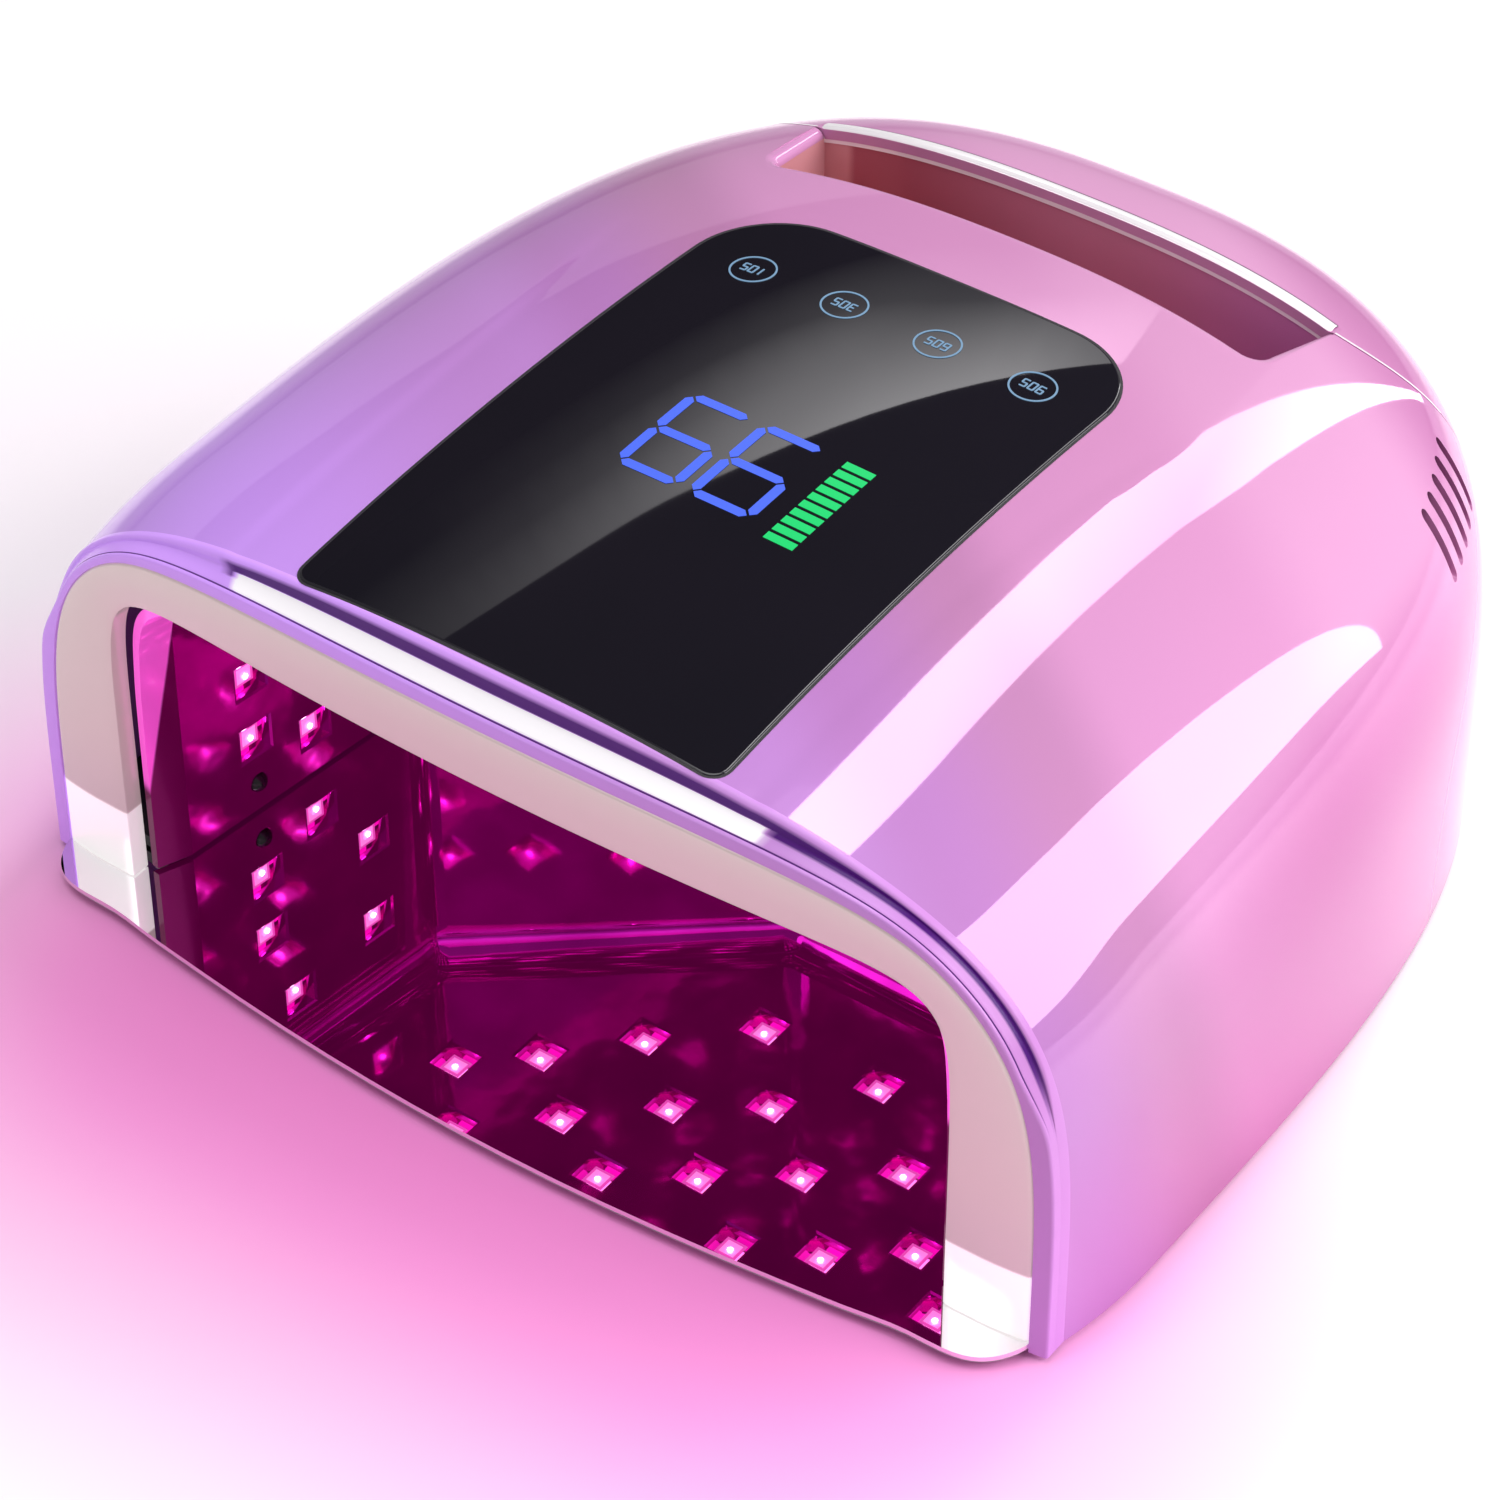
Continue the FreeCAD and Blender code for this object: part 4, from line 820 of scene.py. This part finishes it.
rings = closed_rings(EDGE)
faces += grid_faces(len(rings), len(rings[0][0]), start=len(points), flip=True)
glass = make("panel_glass", np.concatenate([points, place(rings)]), faces, GLASS, sharp=60)
rings = closed_rings(GASKET_EDGE)
rim = make("panel_rim", place(rings), grid_faces(len(rings), len(rings[0][0]), flip=True), GASKET)

# ------------------------------------------------------------------ LED cups and hot spots
# places of the windows: x and y in the ceiling, mirrored in x, and y and z in both side walls
CEILING = [(0, -18), (0, -42), (0, -66), (14, -1), (16, -30), (16, -53), (31.5, -17.5), (31.5, -45),
           (45.5, -33.5), (58, -45), (31.5, -69), (47, -60)]
SIDE = [(-66, 21), (-66, 36), (-60, 56), (-51, 14.5), (-38, 29.5), (-38, 51)]
cup_points, cup_faces, spark_points, spark_faces = [], [], [], []
pane_points, pane_faces, core_faces = [], [], []
# half size and depth of the cup's rings, of the lit pane and of its brighter middle, then the hot spot
CUP_RINGS = ((4.18, -0.02), (3.7, 0.25), (2.75, 3.9))
PANE, PANE_CORE = (2.35, 1.9), (1.7, 1.8)
SPARK_R, SPARK_SIDES, SPARK_AT, SPARK_DEPTH = 0.6, 10, (0.2, -0.5), 1.45
# the ceiling of the chamber, then its side walls, which draw in from front to rear
CEILING_Z, WALL_X, WALL_LEAN, WALL_FRONT = 70.0, 86.5, 5.5 / 60.0, -84.0
SQUARE = ((-1, -1), (1, -1), (1, 1), (-1, 1))


def cup(corner):
    """Sloping walls from a square window down to the LED: corner(u, v, depth) gives a point."""
    start = len(cup_points)
    for half_size, depth in CUP_RINGS:
        cup_points.extend(corner(u * half_size, v * half_size, depth) for u, v in SQUARE)
    for ring in (start, start + 4):
        for k in range(4):
            following = (k + 1) % 4
            cup_faces.append((ring + k, ring + following, ring + 4 + following, ring + 4 + k))
    spark_faces.append(tuple(range(len(spark_points), len(spark_points) + SPARK_SIDES)))
    spark_points.extend(corner(u, v, SPARK_DEPTH) for u, v in round_loop(SPARK_AT, SPARK_R, SPARK_SIDES))
    for (half_size, depth), faces in ((PANE, pane_faces), (PANE_CORE, core_faces)):
        start = len(pane_points)
        pane_points.extend(corner(u * half_size, v * half_size, depth) for u, v in SQUARE)
        faces.append((start, start + 1, start + 2, start + 3))


def ceiling_cup(x, y):
    cup(lambda u, v, depth: (x + u, y + v, CEILING_Z + depth))


def wall_cup(sign, y, z):
    cup(lambda u, v, depth: (sign * (WALL_X - WALL_LEAN * (y + u - WALL_FRONT) + depth), y + u, z + v))


for x, y in CEILING:
    ceiling_cup(x, y)
    if x:
        ceiling_cup(-x, y)
for y, z in SIDE:
    wall_cup(1, y, z)
    wall_cup(-1, y, z)
cups = make("led_cups", cup_points, cup_faces, REFLECTOR_WITH_PAINTED_GLOW, sharp=20)
sparks = make("led_sparks", spark_points, spark_faces, LED_SPARK)
panes = make("led_panes", pane_points, pane_faces + core_faces, LED_PANE)
panes.data.materials.append(LED_CORE)
panes.data.polygons.foreach_set("material_index", [0] * len(pane_faces) + [1] * len(core_faces))

# ------------------------------------------------------------------ ties to the frame
for piece, node, slot in ((upper, "upper_shell", "plated_shell"), (cover, "rear_cover", "plated_shell"),
                          (strip, "grip_trim", "trim_chrome"), (tub, "grip_pocket_liner", "pocket_pink"),
                          (bezel, "front_bezel", "bezel_chrome"), (glass, "glass_panel", "panel_glass")):
    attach(piece, "housing")
    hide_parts(node)
for piece, slot in ((roll, "plated_shell"), (joint, "adhesive_black"), (rim, "adhesive_black"),
                    (front, "plated_shell"), (cups, "reflector_mirror"), (sparks, "led_glow"),
                    (panes, "led_glow")):
    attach(piece, "housing")

# ------------------------------------------------------------------ stage and light
# height in metres of the point that the cards stand round, and how far from it
CARD_CENTRE, CARD_DISTANCE, LEFT_CARD_DISTANCE, FLAG_DISTANCE = 0.08, 1.32, 1.38, 1.45
CARD_COLUMNS, CARD_COLOR, FLAG_COLOR = 25, (1.0, 0.98, 1.0), (0.004, 0.004, 0.005)
EASE = np.array([0.25, 0.5, 0.25])


def aim(azimuth, elevation, distance):
    """A point round the lamp, in metres: azimuth 0 is in front, 90 on the viewer's right, 180 behind."""
    a, e = math.radians(azimuth), math.radians(elevation)
    level = distance * math.cos(e)
    return (level * math.sin(a), -level * math.cos(a), distance * math.sin(e) + CARD_CENTRE)


def card_material(name, glowing):
    """A glow whose strength is the mesh's "level", or plain black."""
    finish, nodes, links, shader = new_material(name)
    if glowing:
        nodes.remove(shader)
        glow = nodes.new("ShaderNodeEmission")
        glow.inputs["Color"].default_value = (*CARD_COLOR, 1)
        level = nodes.new("ShaderNodeAttribute")
        level.attribute_name = "level"
        links.new(level.outputs["Fac"], glow.inputs["Strength"])
        links.new(glow.outputs["Emission"], nodes["Material Output"].inputs["Surface"])
    else:
        set_inputs(shader, {"Base Color": (*FLAG_COLOR, 1), "Roughness": 1.0, "IOR": 1.0})
    return finish


def card(name, rows, distance, levels=None):
    """A studio card between rows of (azimuth, elevation), with each row's levels of brightness, or black."""
    across = np.linspace(0, 1, CARD_COLUMNS)
    points, values = [], []
    for i, row in enumerate(rows):
        row = np.array(row, float)
        step = np.concatenate([[0], np.cumsum(np.hypot(*np.diff(row, axis=0).T))])
        step /= step[-1]
        azimuth, elevation = np.interp(across, step, row[:, 0]), np.interp(across, step, row[:, 1])
        for _ in range(3):
            azimuth[1:-1] = np.convolve(azimuth, EASE, "valid")
            elevation[1:-1] = np.convolve(elevation, EASE, "valid")
        points += [aim(a, e, distance) for a, e in zip(azimuth, elevation)]
        if levels:
            values += list(np.interp(across, np.linspace(0, 1, len(levels[i])), levels[i]))
    mesh = bpy.data.meshes.new(name)
    mesh.from_pydata(points, [], grid_faces(len(rows), CARD_COLUMNS))
    if levels:
        mesh.attributes.new("level", "FLOAT", "POINT").data.foreach_set("value", values)
    mesh.materials.append(card_material(name, bool(levels)))
    piece = bpy.data.objects.new(name, mesh)
    scene.collection.objects.link(piece)
    piece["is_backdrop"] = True


# long softbox behind the lamp, seen along the right shoulder
card("softbox_rear",
     [[(195, 77), (196, 68), (192, 56), (190.5, 46), (191, 40.5), (187, 35), (183, 29.5), (180, 26),
       (176.5, 18), (175, 8), (177, -6)],
      [(146, 77), (155, 73), (163, 70.5), (170, 65.5), (177, 54), (178, 42), (176, 33), (174, 23),
       (173, 12), (175, 0), (176, -6)]],
     CARD_DISTANCE, levels=[[9.0, 8.0, 4.4, 9.5, 13.0]] * 2)
# softbox on the right, seen along the lower flank
card("softbox_right",
     [[(84, 54), (104, 50), (121, 49), (134, 44), (139, 35), (142, 24), (142, 5), (141, 0)],
      [(86, 4), (104, 8), (118, 11.5), (124, 10), (134, 7.5), (138.5, 3), (141, 0)]],
     CARD_DISTANCE, levels=[[6.4, 6.2, 6.4], [5.2, 5.8, 6.4]])
# graded card and a black flag behind on the left, seen in the glass panel
BOUNDARY = [(a, 41.6 + 10.4 * math.tanh((a + 141.0) / 15.5)) for a in range(-160, -115, 2)]
card("card_left", [[(a, e - drop) for a, e in BOUNDARY] for drop in (0.0, 3.5, 7.0, 11.0)],
     LEFT_CARD_DISTANCE,
     levels=[[1.6, 3.6, 3.5, 2.7, 1.6, 0.85, 0.45, 0.3], [0.8, 2.0, 2.0, 1.3, 0.65, 0.3, 0.2, 0.1],
             [0.2, 0.5, 0.5, 0.3, 0.2, 0.1, 0.0, 0.0], [0.0, 0.0]])
card("flag_left", [[(-172, level), (-108, level)] for level in (20, 45, 68)], FLAG_DISTANCE)

# metres: half the floor, x and y of the glowing mouth, its reach, and where the white sweep ends
FLOOR_HALF, GLOW_X, GLOW_Y, GLOW_REACH, SWEEP_END = 4, (-0.05, 0.06), -0.098, 0.136, (0.36, 0.50)
SWEEP_COLOR = (0.46, 0.43, 0.47)
GLOW_STOPS = [(0.0, (0.96, 0.30, 0.72)), (0.3, (0.96, 0.32, 0.73)), (0.5, (0.96, 0.50, 0.79)),
              (0.72, (0.96, 0.69, 0.86)), (1.0, (0.93, 0.92, 0.93))]


def floor_material():
    """White, tinted by the lamp's light round the mouth, on a darker studio floor some way out."""
    finish, nodes, links, shader = new_material("floor")
    shader.inputs["Roughness"].default_value = 0.75
    coords = nodes.new("ShaderNodeTexCoord").outputs["Object"]
    parts = nodes.new("ShaderNodeSeparateXYZ")
    links.new(coords, parts.inputs["Vector"])
    nearest = nodes.new("ShaderNodeClamp")
    nearest.inputs["Min"].default_value, nearest.inputs["Max"].default_value = GLOW_X
    links.new(parts.outputs["X"], nearest.inputs["Value"])
    mouth = nodes.new("ShaderNodeCombineXYZ")
    mouth.inputs["Y"].default_value = GLOW_Y
    links.new(nearest.outputs["Result"], mouth.inputs["X"])
    reach = nodes.new("ShaderNodeVectorMath")
    reach.operation = "DISTANCE"
    links.new(coords, reach.inputs[0])
    links.new(mouth.outputs["Vector"], reach.inputs[1])
    share = map_range(nodes, links, reach.outputs["Value"], (0.0, GLOW_REACH))
    color = color_ramp(nodes, links, share, GLOW_STOPS, "B_SPLINE")
    out = nodes.new("ShaderNodeVectorMath")
    out.operation = "LENGTH"
    links.new(coords, out.inputs[0])
    fall = map_range(nodes, links, out.outputs["Value"], SWEEP_END)
    links.new(mix_color(nodes, links, fall, color, SWEEP_COLOR), shader.inputs["Base Color"])
    return finish


floor = bpy.data.objects.new("floor", bpy.data.meshes.new("floor"))
corners = [(x * FLOOR_HALF, y * FLOOR_HALF, 0) for x, y in SQUARE]
floor.data.from_pydata(corners, [], [(0, 1, 2, 3)])
scene.collection.objects.link(floor)
floor.data.materials.append(floor_material())
floor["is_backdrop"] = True

world = bpy.data.worlds.new("world")
scene.world = world
world.use_nodes = True
set_inputs(world.node_tree.nodes["Background"], {"Color": (1.0, 0.99, 1.0, 1), "Strength": 0.30})

# name, place, diameter and power of each lamp, all aimed at the middle of the object
LAMPS = (("overhead", (0.0, -0.3, 1.9), 1.3, 13.5), ("front", (-0.7, -1.5, 1.2), 0.9, 4.5))
AIM_AT = Vector((0, 0, 0.05))
for name, spot, size, energy in LAMPS:
    light = bpy.data.objects.new(name, bpy.data.lights.new(name, "AREA"))
    light.data.shape, light.data.size, light.data.energy = "DISK", size, energy
    light.location = spot
    light.rotation_euler = (AIM_AT - Vector(spot)).to_track_quat("-Z", "Y").to_euler()
    scene.collection.objects.link(light)

VISUAL_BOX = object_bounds()


def plain(box):
    return json.loads(json.dumps(box, default=lambda v: [float(c) for c in v]))


{"cad": plain(CAD_BOX), "visual": plain(VISUAL_BOX)}
